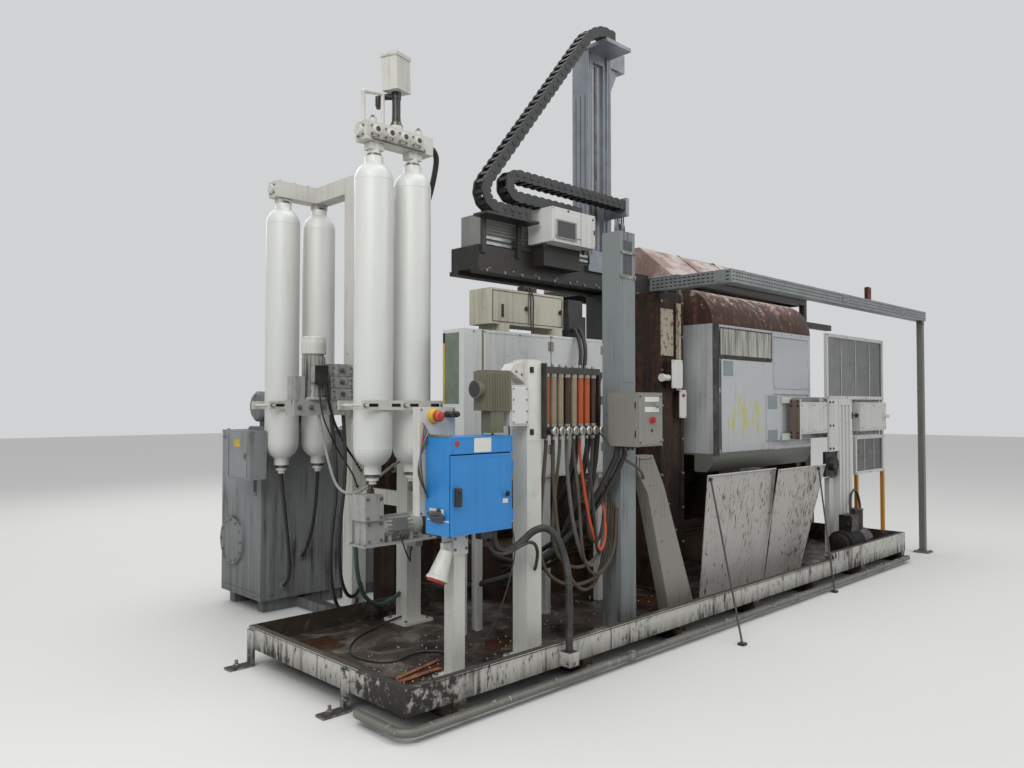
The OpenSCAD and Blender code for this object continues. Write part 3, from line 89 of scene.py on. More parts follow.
# Light and floor: large soft lamps on all sides of a plain pale room, as under a wide roof.
# The floor is smooth pale concrete and catches the machine's shadow.
bpy.context.scene.view_settings.view_transform = "Standard"
world = bpy.data.worlds.new("room")
bpy.context.scene.world = world
world.use_nodes = True
sky = world.node_tree
sky.nodes.clear()
rays = [add(sky, "LightPath", out="Is %s Ray" % kind) for kind in ("Camera", "Glossy", "Transmission")]
seen = add(sky, "Math", {0: rays[0], 1: rays[1]}, operation="MAXIMUM")
seen = add(sky, "Math", {0: seen, 1: rays[2]}, operation="MAXIMUM")
dim = add(sky, "Background", {"Color": "#dfe3e8", "Strength": 0.36})
bright = add(sky, "Background", {"Color": "#e6e8ea", "Strength": 0.8})
add(sky, "OutputWorld", {"Surface": add(sky, "MixShader", {0: seen, 1: dim, 2: bright})})
for name, place, size, power in (
    ("key", (-9.5, -4.5, 7.0), 6.0, 500), ("fill", (3.0, -9.5, 6.5), 6.0, 280),
    ("roof", (0.0, 0.0, 9.5), 7.0, 200), ("rear", (-2.0, 8.5, 7.0), 6.0, 260),
):
    lamp = placed(name, bpy.data.lights.new(name, "AREA"))
    lamp.location = place
    lamp.rotation_euler = (Vector((0, 0, 1.5)) - Vector(place)).to_track_quat("-Z", "Y").to_euler()
    lamp.data.size = size
    lamp.data.energy = power
roof_light = placed("roof_light", bpy.data.lights.new("roof_light", "SUN"))
roof_light.data.energy = 1.5
roof_light.data.angle = math.radians(70)
floor = placed("floor", bpy.data.meshes.new("floor"))
floor.data.from_pydata([(x, y, -0.001) for x, y in ((-1, -1), (1, -1), (1, 1), (-1, 1))], [], [(0, 1, 2, 3)])
floor.scale = (40, 40, 1)
# Smooth concrete: one flat pale tone, so that nothing in it draws the eye from the machine.
concrete, tree, shader = material("smooth_concrete", 0.85)
shader.inputs["Base Color"].default_value = linear("#c4c4c1")
floor.data.materials.append(concrete)


# Bed: a welded box of heavy hot rolled plate, low in the shadow under everything else.
# Its sides are panelled between ribs, and a pair of lubrication pipes runs along each of them
# in clips. Years of oil and die spray left it brown and half glossy.
PAN_CORNER = Vector((-4.45, -1.8, 0))
LEFT, RIGHT, FRONT, BACK, DOWN, UP = (-1, 0, 0), (1, 0, 0), (0, -1, 0), (0, 1, 0), (0, 0, -1), (0, 0, 1)


def at(x, y, z):
    """Millimetres from the pan's near corner, X along and Y across the machine, as a place in the frame."""
    return PAN_CORNER + Vector((x, y, z)) / 1000


def box(x0, y0, z0, x1, y1, z1):
    """A block between two corners."""
    points = [at(x, y, z) for z, y, x in product((z0, z1), (y0, y1), (x0, x1))]
    return points, [(0, 2, 3, 1), (4, 5, 7, 6), (0, 1, 5, 4), (2, 6, 7, 3), (0, 4, 6, 2), (1, 3, 7, 5)]


def skin(rows, sides):
    """The faces of a closed skin over rows of points, each row a ring with so many sides."""
    faces = [(r * sides + i, r * sides + (i + 1) % sides, (r + 1) * sides + (i + 1) % sides, (r + 1) * sides + i)
             for r, i in product(range(rows - 1), range(sides))]
    return faces + [tuple(reversed(range(sides))), tuple(range((rows - 1) * sides, rows * sides))]


def turned(start, axis, profile, sides=24, turn=0.0):
    """A turned shape from a place along an axis; the profile holds (distance along, diameter)."""
    axis = Vector(axis).normalized()
    side = axis.orthogonal().normalized()
    other = axis.cross(side)
    points = []
    for (along, width), i in product(profile, range(sides)):
        angle = 2 * math.pi * i / sides + turn
        points.append(at(*start) + axis * along / 1000
                      + (side * math.cos(angle) + other * math.sin(angle)) * width / 2000)
    return points, skin(len(profile), sides)


def rod(start, end, d, sides=16):
    """A round bar between two points."""
    run = Vector(end) - Vector(start)
    return turned(start, run, [(0, d), (run.length, d)], sides)


def joined(parts):
    """Several shapes as one."""
    points, faces = [], []
    for some_points, some_faces in parts:
        base = len(points)
        points += some_points
        faces += [tuple(base + i for i in f) for f in some_faces]
    return points, faces


def round_edge(made, width):
    """Rounds an object's edges by so many millimetres."""
    rounding = made.modifiers.new("edge", "BEVEL")
    rounding.width = width / 1000
    rounding.segments = 2
    rounding.limit_method = "ANGLE"
    return rounding


def piece(name, parts, finish, body="machine", bevel=0.0, smooth_angle=35):
    """One mesh object from its shapes, riding on a body of the frame."""
    points, faces = joined(parts)
    made = placed(name, bpy.data.meshes.new(name))
    made.data.from_pydata(points, [], faces)
    made.data.polygons.foreach_set("use_smooth", [True] * len(faces))
    made.data.set_sharp_from_angle(angle=math.radians(smooth_angle))
    made.data.materials.append(finish)
    if bevel:
        round_edge(made, bevel)
    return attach(made, body)


def dress(names, finish, edge=1.5):
    """Gives CAD nodes their finish and the small rounded edge of folded or machined steel."""
    for name in names:
        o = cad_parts[name]
        o.data.materials.clear()
        o.data.materials.append(finish)
        o.modifiers.new("weld", "WELD").merge_threshold = 0.00002
        if edge:
            round_edge(o, edge).angle_limit = math.radians(40)


def oily_iron(name, dark, light, rust, share=0.4, rough=0.5, metallic=0.55, grain=60, spill=None):
    """Cast or rolled iron: a dark oxide skin with rust bloom, clouds of wet oil and a rough grain.

    Clouds are about 420 mm across and runs 55 mm wide, as oil spreads on a wall; grain is the
    size of the casting's skin or scale in mm, drawn coarser than real so that it shows, and
    spill is the colour of dried die spray.
    """
    made, t, shader = material(name, metallic=metallic)
    place = add(t, "TexCoord", out="Object")
    cloud = add(t, "TexNoise", {"Vector": place, "Scale": 1000 / 420, "Detail": 7, "Roughness": 0.65})
    drawn = add(t, "Mapping", {"Vector": place, "Scale": (1000 / 55, 1000 / 55, 1000 / 600)})
    runs = add(t, "TexNoise", {"Vector": drawn, "Scale": 1.0, "Detail": 4})
    crust = add(t, "TexNoise", {"Vector": place, "Scale": 1000 / grain, "Detail": 8, "Roughness": 0.7})
    tone = add(t, "Mix", {0: add(t, "MapRange", {0: cloud, 1: 0.35, 2: 0.65}), 6: dark, 7: light}, 2,
               data_type="RGBA")
    bloom = add(t, "Math", {0: crust, 1: runs}, operation="MULTIPLY")
    bloom = add(t, "MapRange", {0: bloom, 1: 0.34 - 0.2 * share, 2: 0.44 - 0.2 * share})
    tone = add(t, "Mix", {0: bloom, 6: tone, 7: rust}, 2, data_type="RGBA")
    if spill:
        pools = add(t, "TexNoise", {"Vector": place, "Scale": 1000 / 300, "Detail": 12, "Roughness": 0.76,
                                    "Distortion": 0.9})
        pools = add(t, "MapRange", {0: pools, 1: 0.51, 2: 0.66, 4: 0.9})
        tone = add(t, "Mix", {0: pools, 6: tone, 7: spill}, 2, data_type="RGBA")
    t.links.new(tone, shader.inputs["Base Color"])
    wet = add(t, "MapRange", {0: cloud, 1: 0.4, 2: 0.6, 3: rough - 0.15, 4: rough + 0.25})
    t.links.new(wet, shader.inputs["Roughness"])
    bump = add(t, "Bump", {"Strength": 0.35, "Distance": 0.0015, "Height": crust})
    t.links.new(bump, shader.inputs["Normal"])
    return made


# Oily plate: brown and nearly black in clouds, with wet patches that catch the light.
bed_plate = oily_iron("oily_hot_rolled_plate", "#2c211b", "#4a382c", "#6b4630", 0.35)
dress(["machine_bed"], bed_plate, 4)
pipes = [rod((1960, y, z), (6940, y, z), 18) for y, z in product((1236, 2364), (405, 432))]
clips = [box(x, y, 392, x + 30, y + 27, 446) for y, x in product((1223, 2350), range(2040, 6940, 490))]
piece("bed_lubrication_pipes", pipes, bed_plate)
piece("bed_pipe_clips", clips, bed_plate, bevel=2)


# Drip pan: folded sheet steel on sleepers, its rims once sprayed white. Die spray, oil and
# crumbs of metal lie in it; white dried spray, brown puddles and black grime at the near corner.
def aged_paint(name, paint, grime="#3b342c", rust="#4a3225", streaks=0.4, wear=0.25, chip=40,
               rough=0.48, dusty=0.35, foot=None, cast=12, patch=0.0, tall=1.0):
    """Sprayed enamel on steel after years beside molten metal: greasy runs, stains and bare chips.

    Stains come in clouds about 650 mm across with runs 38 mm wide; chip is the width of the bare
    spots in mm, tall how much longer they hang, and cast the size of the spray's orange peel,
    drawn coarser than real so that it shows.
    foot holds the heights between which splashes climb, and how strong they are.
    """
    made, t, shader = material(name)
    place = add(t, "TexCoord", out="Object")
    cloud = add(t, "TexNoise", {"Vector": place, "Scale": 1000 / 650, "Detail": 6, "Roughness": 0.62})
    drawn = add(t, "Mapping", {"Vector": place, "Scale": (1000 / 38, 1000 / 38, 1000 / 700)})
    runs = add(t, "TexNoise", {"Vector": drawn, "Scale": 1.0, "Detail": 5, "Roughness": 0.6})
    hung = add(t, "Mapping", {"Vector": place, "Scale": (1000 / chip, 1000 / chip, 1000 / chip / tall)})
    specks = add(t, "TexNoise", {"Vector": hung, "Scale": 1.0, "Detail": 8, "Roughness": 0.66})
    peel = add(t, "TexNoise", {"Vector": place, "Scale": 1000 / cast, "Detail": 3})
    stain = add(t, "Math", {0: runs, 1: cloud}, operation="MULTIPLY")
    stain = add(t, "MapRange", {0: stain, 1: 0.24, 2: 0.46}, interpolation_type="SMOOTHSTEP")
    stain = add(t, "Math", {0: stain, 1: streaks}, operation="MULTIPLY")
    up = add(t, "SeparateXYZ", {0: add(t, "NewGeometry", out="Normal")}, "Z")
    dust = add(t, "Math", {0: add(t, "MapRange", {0: up, 1: 0.6, 2: 0.95}), 1: cloud}, operation="MULTIPLY")
    dust = add(t, "Math", {0: dust, 1: dusty * 1.8, 2: stain}, operation="MULTIPLY_ADD", use_clamp=True)
    if foot:
        low = add(t, "SeparateXYZ", {0: place}, "Z")
        low = add(t, "MapRange", {0: low, 1: foot[1] / 1000, 2: foot[0] / 1000})
        low = add(t, "Math", {0: low, 1: runs}, operation="MULTIPLY")
        dust = add(t, "Math", {0: low, 1: foot[2], 2: dust}, operation="MULTIPLY_ADD", use_clamp=True)
    worn = add(t, "Math", {0: cloud, 1: 0.35, 2: specks}, operation="MULTIPLY_ADD")
    edge = 0.95 - 0.22 * wear
    chips = add(t, "MapRange", {0: worn, 1: edge, 2: edge + 0.02})
    halo = add(t, "MapRange", {0: worn, 1: edge - 0.07, 2: edge + 0.01, 4: 0.55})
    tone = add(t, "Mix", {0: dust, 6: paint, 7: grime}, 2, data_type="RGBA")
    if patch:
        smear = add(t, "TexNoise", {"Vector": place, "Scale": 1000 / 170, "Detail": 9, "Roughness": 0.7,
                                    "Distortion": 0.8})
        smear = add(t, "MapRange", {0: smear, 1: 0.60, 2: 0.66, 4: patch})
        tone = add(t, "Mix", {0: smear, 6: tone, 7: rust}, 2, data_type="RGBA")
    tone = add(t, "Mix", {0: halo, 6: tone, 7: grime}, 2, data_type="RGBA")
    tone = add(t, "Mix", {0: chips, 6: tone, 7: rust}, 2, data_type="RGBA")
    t.links.new(tone, shader.inputs["Base Color"])
    dull = add(t, "MapRange", {0: dust, 3: rough, 4: min(0.95, rough + 0.3)})
    t.links.new(dull, shader.inputs["Roughness"])
    height = add(t, "Math", {0: peel, 1: 0.25, 2: chips}, operation="MULTIPLY_ADD")
    bump = add(t, "Bump", {"Strength": 0.22, "Distance": 0.001, "Height": height}, invert=True)
    t.links.new(bump, shader.inputs["Normal"])
    return made


def coat(finish, mask, colour):
    """Lays a second colour over a finish, where and as strongly as the mask says."""
    tone = finish.node_tree.nodes["Principled BSDF"].inputs["Base Color"]
    under = tone.links[0].from_socket
    over = add(finish.node_tree, "Mix", {0: mask, 6: under, 7: colour}, 2, data_type="RGBA")
    finish.node_tree.links.new(over, tone)


def moulded(name, colour, rough=0.5, dust="#6b665c", share=0.25, grain=25, metallic=0.0):
    """A moulded, extruded or bare surface: one colour with a fine grain under thin shop dust.

    The grain, in mm, is drawn coarser than real so that it shows.
    """
    made, t, shader = material(name, rough, metallic)
    place = add(t, "TexCoord", out="Object")
    film = add(t, "TexNoise", {"Vector": place, "Scale": 1000 / 120, "Detail": 6, "Roughness": 0.65})
    film = add(t, "MapRange", {0: film, 1: 0.42, 2: 0.75, 4: share})
    tone = add(t, "Mix", {0: film, 6: colour, 7: dust}, 2, data_type="RGBA")
    t.links.new(tone, shader.inputs["Base Color"])
    fine = add(t, "TexNoise", {"Vector": place, "Scale": 1000 / grain, "Detail": 4})
    bump = add(t, "Bump", {"Strength": 0.12, "Distance": 0.001, "Height": fine})
    t.links.new(bump, shader.inputs["Normal"])
    return made


def nut(x, y, z, axis, size=18):
    """A hexagon head on its washer, standing on a face and pointing along axis."""
    washer = turned((x, y, z), axis, [(0, size * 2), (size * 0.15, size * 2)], 16)
    head = turned((x, y, z), axis, [(0, size * 1.7), (size * 0.65, size * 1.7), (size * 0.8, size * 1.45)], 6)
    return joined([washer, head])


DECK = 112  # height of the pan's floor


def heap(x, y, wide, deep, high, seed, rings=7, around=26):
    """A low uneven mound or puddle lying on the pan's floor."""
    shape = random.Random(seed)
    lobes = [(shape.uniform(0.06, 0.2), k, shape.uniform(0, 6.3)) for k in (2, 3, 5, 7)]
    points = []
    for r, i in product(range(1, rings + 1), range(around)):
        out, a = r / rings, 2 * math.pi * i / around
        far = out * (1 + sum(s * math.sin(k * a + p) for s, k, p in lobes) * out)
        lift = high * (1 - out ** 2) * (0.75 + 0.5 * shape.random())
        points.append(at(x + wide / 2 * far * math.cos(a), y + deep / 2 * far * math.sin(a),
                         DECK + (0.2 if r == rings else max(0.4, lift))))
    return points, [tuple(reversed(f)) for f in skin(rings, around)]


# Pan sheet: black with soaked oil and brown rust, under grey pools of dried die spray.
pan_sheet = oily_iron("oil_soaked_pan_sheet", "#1e1b18", "#433c34", "#43302a", 0.4, rough=0.42, grain=35,
                      spill="#7d786d")
# Pan enamel: white worn through in tall black chips, with a crust of grime at the near corner.
pan_enamel = aged_paint("stained_white_pan_enamel", "#b4b2ab", grime="#2f2a25", rust="#241d19",
                        streaks=0.85, wear=0.72, chip=26, tall=3.0, rough=0.55, dusty=1.2, patch=0.5,
                        foot=(92, 196, 1.3))
tree = pan_enamel.node_tree
place = add(tree, "TexCoord", out="Object")
away = add(tree, "VectorMath", {0: place, 1: at(0, 120, 160)}, "Value", operation="DISTANCE")
crust = add(tree, "TexNoise", {"Vector": place, "Scale": 1000 / 60, "Detail": 9, "Roughness": 0.7})
crust = add(tree, "Math", {0: away, 1: -0.55, 2: crust}, operation="MULTIPLY_ADD")
coat(pan_enamel, add(tree, "MapRange", {0: crust, 1: 0.30, 2: 0.40}), "#1f1b17")
dress(["pan_floor"], pan_sheet)
dress(["pan_rim_front", "pan_rim_end"], pan_enamel)
# Grime, spray, oil and zinc: wet black lumps, chalky crumbs, glossy brown pools, dull grey heads.
black_grime = oily_iron("black_grime", "#15120f", "#2b241e", "#3b2a20", 0.3, rough=0.35, metallic=0.1, grain=18)
dried_spray = moulded("dried_die_spray", "#a8a296", 0.85, dust="#6a6153", share=0.7, grain=9)
brown_puddle = moulded("brown_oil_puddle", "#3d281b", 0.16, dust="#241912", share=0.8, grain=60)
zinc_bolts = moulded("zinc_plated_bolts", "#8a8780", 0.42, dust="#40352b", share=0.7, grain=12, metallic=0.85)
piece("pan_grime", [heap(*sizes) for sizes in (
    (215, 190, 280, 240, 40, 3), (330, 250, 300, 200, 20, 5), (115, 520, 130, 380, 22, 8),
    (620, 95, 420, 90, 22, 9), (1430, 90, 520, 80, 20, 11), (2250, 90, 620, 80, 22, 12),
    (115, 1150, 130, 420, 18, 14), (3300, 110, 700, 110, 26, 15), (5100, 110, 900, 110, 24, 16),
    (1300, 900, 500, 400, 16, 17))], black_grime)
piece("pan_puddles", [heap(x, y, wide, deep, 2.4, seed) for x, y, wide, deep, seed in (
    (560, 420, 300, 190, 31), (1010, 560, 380, 220, 32), (1900, 260, 460, 150, 33),
    (330, 1330, 340, 260, 34), (2700, 560, 420, 260, 35))], brown_puddle)
crumb = random.Random(4)
crumbs = []
for i in range(420):
    x, y = crumb.uniform(60, 2900), crumb.uniform(60, 1000)
    if crumb.random() < 0.5:
        x, y = crumb.gauss(300, 170), crumb.gauss(330, 200)
    if 55 < x < 2950 and 55 < y < 1180:
        s = crumb.uniform(2, 9)
        crumbs.append(turned((x, y, DECK), (crumb.uniform(-0.5, 0.5), crumb.uniform(-0.5, 0.5), 1),
                             [(0, s), (s * 0.4, s * 1.3), (s * 0.8, s * 0.5)], 5, crumb.uniform(0, 3)))
piece("pan_crumbs", crumbs, dried_spray)
bars = []
for start, end, wide in (((222, 395), (550, 418), 34), ((281, 448), (634, 537), 26)):
    run = (Vector(end) - Vector(start)).normalized()
    side = Vector((-run.y, run.x)) * wide / 2
    corners = [Vector(p) + side * s for p, s in ((start, 1), (start, -1), (end, -1), (end, 1))]
    bars.append(([at(*p, z) for z, p in product((DECK + 4, DECK + 11), corners)],
                 [tuple(reversed(f)) for f in skin(2, 4)]))
# Bar: loose orange rust over brown scale.
rusty_bar = oily_iron("rusty_flat_bar", "#4b2f22", "#6d4a36", "#8a5433", 0.7, metallic=0.2, rough=0.7, grain=14)
piece("pan_loose_bars", bars, rusty_bar, bevel=1.5)
anchors = []
for y in (520, 1570):
    anchors += [nut(-100, y, 12, UP, 22), rod((-100, y, 12), (-100, y, 52), 20),
                rod((-14, y - 30, 60), (-14, y + 30, 60), 9)]
piece("pan_anchor_bolts", anchors, zinc_bolts)
beads = [box(x, -1, DECK - 4, x + 5, 0, 226) for x in (1560, 3110)]
beads += [box(-1.2, 806, DECK - 4, 0, 811, 226), rod((45, -1.5, 228.5), (4700, -1.5, 228.5), 5, 8),
          rod((-1.5, 10, 228.5), (-1.5, 1602, 228.5), 5, 8)]
piece("pan_weld_beads", beads, black_grime)

# Kick rail: a bent pipe on short brackets along the floor, so that nobody walks into the pan.
# It is painted grey, scuffed to bare steel on top by boots.
pipe_enamel = aged_paint("scuffed_grey_enamel", "#66675f", grime="#2f2a25", rust="#a3a199", streaks=0.7,
                         wear=0.7, dusty=0.9, patch=0.5)
dress(["kick_rail"], pipe_enamel, 0)
sleeves = [rod((x, -60, 50), (x + 60, -60, 50), 58, 20) for x in (1650, 3850, 5600)]
piece("kick_rail_sleeves", sleeves, pipe_enamel, bevel=3)

# Oil tank: a welded sheet box on two skids behind the bottles, with stiffeners, a bolted
# cleaning cover at its end, and a motor and pump on its lid. Grey enamel, black with oil below.
def circle(radius, count, start=0.0, step=None):
    """Places round a circle, as offsets from its centre."""
    angles = [start + k * (step or 2 * math.pi / count) for k in range(count)]
    return [(radius * math.cos(a), radius * math.sin(a)) for a in angles]


# Enamels: the tank's is a pale matt grey, streaked black low down; the motors' is darker.
tank_enamel = aged_paint("oil_stained_grey_enamel", "#85898a", grime="#35322e", streaks=0.8, wear=0.3,
                         dusty=0.9, foot=(100, 1150, 1.1))
motor_enamel = aged_paint("grey_motor_enamel", "#6b6f70", grime="#2b2723", streaks=0.6, wear=0.3, chip=20)
dress(["hydraulic_tank", "tank_box"], tank_enamel, 2)
dress(["tank_pump"], motor_enamel, 2)
LID_Z = 1400
bolts = [nut(575, 3080 + dy, 520 + dz, LEFT, 12) for dy, dz in circle(165, 12)]
bolts += [nut(x, y, LID_Z, UP, 12) for x, y in product(range(640, 2500, 180), (2650, 3270))]
piece("tank_cover_bolts", bolts, zinc_bolts)
gauge = [box(594, 2700, 900, 601, 2740, 1180), rod((590, 2720, 930), (590, 2720, 1150), 18)]
gauge += [box(588, 2650, z, 592, 3270, z + 10) for z in (140, LID_Z - 60)]
piece("tank_level_gauge", gauge, motor_enamel, bevel=1.5)
# The tag has no print: a flat warm yellow spot on the grey.
blank_yellow = moulded("blank_yellow_tag", "#c2a63a", 0.6, share=0.5)
piece("tank_box_tag", [box(391.5, 2560, 1290, 394, 2650, 1350)], blank_yellow)
lock = [box(388, 2470, 1200, 394, 2490, 1250), rod((394, 2480, 1225), (384, 2480, 1225), 22)]
lock += [box(390.5, y, 1066, 394.5, y + 5, 1394) for y in (2445, 2740)]
piece("tank_box_lock", lock, zinc_bolts, bevel=1)
fan = [turned((759, 2920, 1590), LEFT, [(0, 244), (40, 244), (58, 200), (58, 0.5)], 40)]
piece("tank_motor_fan_cap", fan, motor_enamel)
filler = [turned((1700, 2960, LID_Z), UP, [(0, 150), (12, 150), (14, 110), (80, 110), (95, 90)], 28),
          turned((2150, 3000, LID_Z), UP, [(0, 190), (14, 190), (16, 150), (170, 150), (190, 120)], 28)]
filler += [turned((x, 2628, z), FRONT, [(0, 70), (10, 70), (12, 46), (16, 46)], 20)
           for x, z in ((790, 200), (945, 410))]
piece("tank_filler_and_filter", filler, motor_enamel)

# Pressure bottles: four drawn steel accumulators with domed ends and stepped necks, sprayed
# satin white. They are the cleanest things on the machine; a seam shows at each dome.
FRONT_Y, REAR_Y = 1176, 2448
# Satin enamel: smooth and even, with a long soft highlight down each bottle.
bottle_enamel = aged_paint("satin_white_enamel", "#cfd0cb", grime="#8f8b81", streaks=0.16, wear=0.0,
                           rough=0.34, dusty=0.3, cast=6)
dress(["bottles_front", "bottles_rear"], bottle_enamel, 0)
rings, necks = [], []
for x, y, low, high in ((615, FRONT_Y, 1200, 3170), (925, FRONT_Y, 1200, 3170),
                        (671, REAR_Y, 1190, 3100), (981, REAR_Y, 1190, 3100)):
    rings += [turned((x, y, z - 3), UP, [(0, 250), (1.5, 252.4), (4.5, 252.4), (6, 250)], 48)
              for z in (low + 125, high - 125)]
    necks += [turned((x, y, low - 62), UP, [(0, 80), (2, 96), (14, 96), (18, 84)], 28),
              turned((x, y, high + 30), UP, [(0, 82), (4, 98), (16, 98), (20, 82)], 28)]
    necks += [nut(x + dx, y + dy, high + 30, UP, 7) for dx, dy in circle(45, 8)]
piece("bottle_weld_seams", rings, bottle_enamel)
# Neck steel: bare and oiled, so dark brown with a metal's glint.
neck_steel = moulded("oiled_neck_steel", "#6f6b64", 0.38, dust="#2b241d", share=0.8, metallic=0.9)
piece("bottle_neck_rings", necks, neck_steel, bevel=1)


# Manifolds: bored steel blocks on the bottles' necks, white enamel, with flanged ports held by
# four socket screws each, a bent pipe from block to block and studs on top.
def screw(x, y, z, d, side, tall, crown, axis=FRONT, sides=12):
    """A round head on a face: its diameter, the height of its side, its full height and its crown."""
    return turned((x, y, z), axis, [(0, d), (side, d), (tall, crown)], sides)


# Shop enamel: a flat warm white with thin brown runs and a few bare spots.
shop_white = aged_paint("white_shop_enamel", "#c2c1ba", grime="#655d50", streaks=0.35, wear=0.2, patch=0.12)
# Port steel: oiled steel, nearly black, for dark parts and the gaps round doors and lids; on bores, slots, sockets
# and vent holes it is painted shade.
dark_steel_and_hole_shade = moulded("oiled_steel_and_hole_shade", "#201d1a", 0.3, share=0.3, metallic=0.6)
dress(["bottle_manifolds", "level_transmitter"], shop_white, 2)
PORT_Z = 3350
flanges, screws, holes = [], [], []
for x in (575, 685, 795, 905):
    flanges += [box(x - 38, 1108, PORT_Z - 38, x + 38, 1116.5, PORT_Z + 38),
                screw(x, 1091, PORT_Z, 60, 14, 20, 52, sides=24)]
    holes.append(rod((x, 1070.5, PORT_Z), (x, 1069, PORT_Z), 34, 20))
    for dx, dz in product((-28, 28), (-28, 28)):
        screws.append(screw(x + dx, 1108, PORT_Z + dz, 14, 9, 10, 12))
        holes.append(rod((x + dx, 1098.5, PORT_Z + dz), (x + dx, 1097.4, PORT_Z + dz), 7, 6))
for x, ys, zs in ((515, (1146, 1206), (3320, 3380)), (581, (2420, 2476), (3200, 3260))):
    screws += [screw(x, y, z, 14, 9, 10, 12, LEFT) for y, z in product(ys, zs)]
for xs, ys, z in (((560, 725, 840, 1010), (1150, 1202), 3410), ((620, 740, 860, 980), (2410, 2486), 3290),
                  ((950, 1010), (1900, 2060, 2220, 2360), 3290)):
    screws += [nut(x, y, z, UP, 11) for x, y in product(xs, ys)]
screws += [turned((x, FRONT_Y, 3448), UP, [(0, 46), (8, 46), (10, 24), (24, 24)], 6) for x in (605, 975)]
piece("manifold_port_flanges", flanges, shop_white, bevel=2)
piece("manifold_screws", screws, zinc_bolts)
# Painted shade: thin dark discs stand for the shade inside the port bores and the screws' sockets.
piece("manifold_port_hole_shade", holes, dark_steel_and_hole_shade)
blocks = [box(x, y, z, x + 106, y + 76, top) for x, y, z, top in (
    (562, 1138, 3240, 3288), (872, 1138, 3240, 3288), (618, 2410, 3130, 3169), (928, 2410, 3130, 3169))]
piece("manifold_neck_blocks", blocks, shop_white, bevel=3)
drain = [rod((560, 1106, 3296), (975, 1106, 3296), 12)]
drain += [rod((x, 1106, 3296), (x, 1106, 3312), 12) for x in (560, 975)]
piece("manifold_drain_pipe", drain, neck_steel)

# Rack: two square tube columns, tied by square rungs, with bolted flat bars that clamp each
# pair of bottles. White enamel; the clamp bars have slots, and the rods have plain nuts.
dress(["bottle_rack"], shop_white, 3)
CLAMP_Z = 1600
rods, slots = [], []
for (y, xs), way in product(((FRONT_Y, (464.7, 770, 1075.3)), (REAR_Y, (520.7, 826, 1131.3))), (-1, 1)):
    face = y + way * 137.3
    rods += [nut(x, face, CLAMP_Z, (0, way, 0), 15) for x in xs]
    slots += [box(x - 34, min(face, face + way * 0.8), CLAMP_Z - 10,
                  x + 34, max(face, face + way * 0.8), CLAMP_Z + 10)
              for x in (xs[0] + 62, xs[1] - 72, xs[1] + 72, xs[2] - 62)]
for x, y, z in ((1000, 1320, 132), (920, 1870, 20)):
    rods += [nut(x + dx, y + dy, z, UP, 14) for dx, dy in product((-32, 152), (-32, 152))]
piece("rack_nuts", rods, zinc_bolts)
# Painted shade: thin dark strips on the clamp bars stand for the shade in their slots.
piece("rack_clamp_slot_shade", slots, dark_steel_and_hole_shade)
piece("rack_bare_plate", [box(1016, 1317.5, 1650, 1104, 1320, 1760)], dark_steel_and_hole_shade, bevel=1)
rivets = [turned((x, 1317.6, z), FRONT, [(0, 7), (1.6, 5)], 10) for x, z in product((1022, 1098), (1656, 1754))]
piece("rack_plate_rivets", rivets, zinc_bolts)

# Level transmitter: a cast aluminium head, sprayed white, on a dark neck, with a screwed lid
# and a cable gland at its side.
HEAD_X = 790
gland = [turned((HEAD_X + 90, 1206, 3740), (40, 14, 0), [(0, 34), (14, 34), (16, 24), (34, 24)], 12)]
gland += [nut(HEAD_X + dx, FRONT_Y + dy, 3912, UP, 6) for dx, dy in ((-56, -58), (78, -12), (-72, 30), (42, 74))]
piece("transmitter_gland", gland, dark_steel_and_hole_shade)
# Black plastic: sleeves, plugs and handles, even and slightly shiny.
black_plastic = moulded("black_moulded_plastic", "#1a1a1a", 0.42)
plug = [turned((HEAD_X, FRONT_Y, 3470), UP, [(0, 60), (24, 60), (26, 56.6), (150, 56.6), (152, 64), (196, 64)], 28),
        turned((772, 1194, 3640), (-1, 1, 0), [(0, 40), (50, 40), (52, 52), (84, 52), (92, 40)], 20),
        turned((706, 1260, 3640), DOWN, [(0, 42), (60, 42), (64, 32), (80, 28)], 20)]
piece("transmitter_neck_and_plug", plug, black_plastic)
flange = [turned((HEAD_X, FRONT_Y, 3440), UP, [(0, 92), (6, 92), (8, 72), (26, 72), (30, 58)], 28)]
flange += [nut(HEAD_X + dx, FRONT_Y + dy, 3440, UP, 7) for dx, dy in circle(38, 6, step=1.05)]
piece("transmitter_flange", flange, neck_steel)

# Valve group: an upright pump motor and a tower of stacked valves on a ported block. Grey
# casting enamel under grease; white fan cap, black solenoid plugs and socket screws.
casting_enamel = aged_paint("greasy_grey_casting_enamel", "#9c9d98", grime="#2d2823", streaks=1.0,
                            wear=0.45, chip=22, tall=1.6)
dress(["valve_group", "circulation_pump"], casting_enamel, 2)
MOTOR_X, MOTOR_Y = 615, 1900
cap = [turned((MOTOR_X, MOTOR_Y, 1960), UP, [(0, 172), (60, 174), (104, 170), (122, 140), (122, 0.5)], 48)]
piece("valve_motor_fan_cap", cap, shop_white, smooth_angle=50)
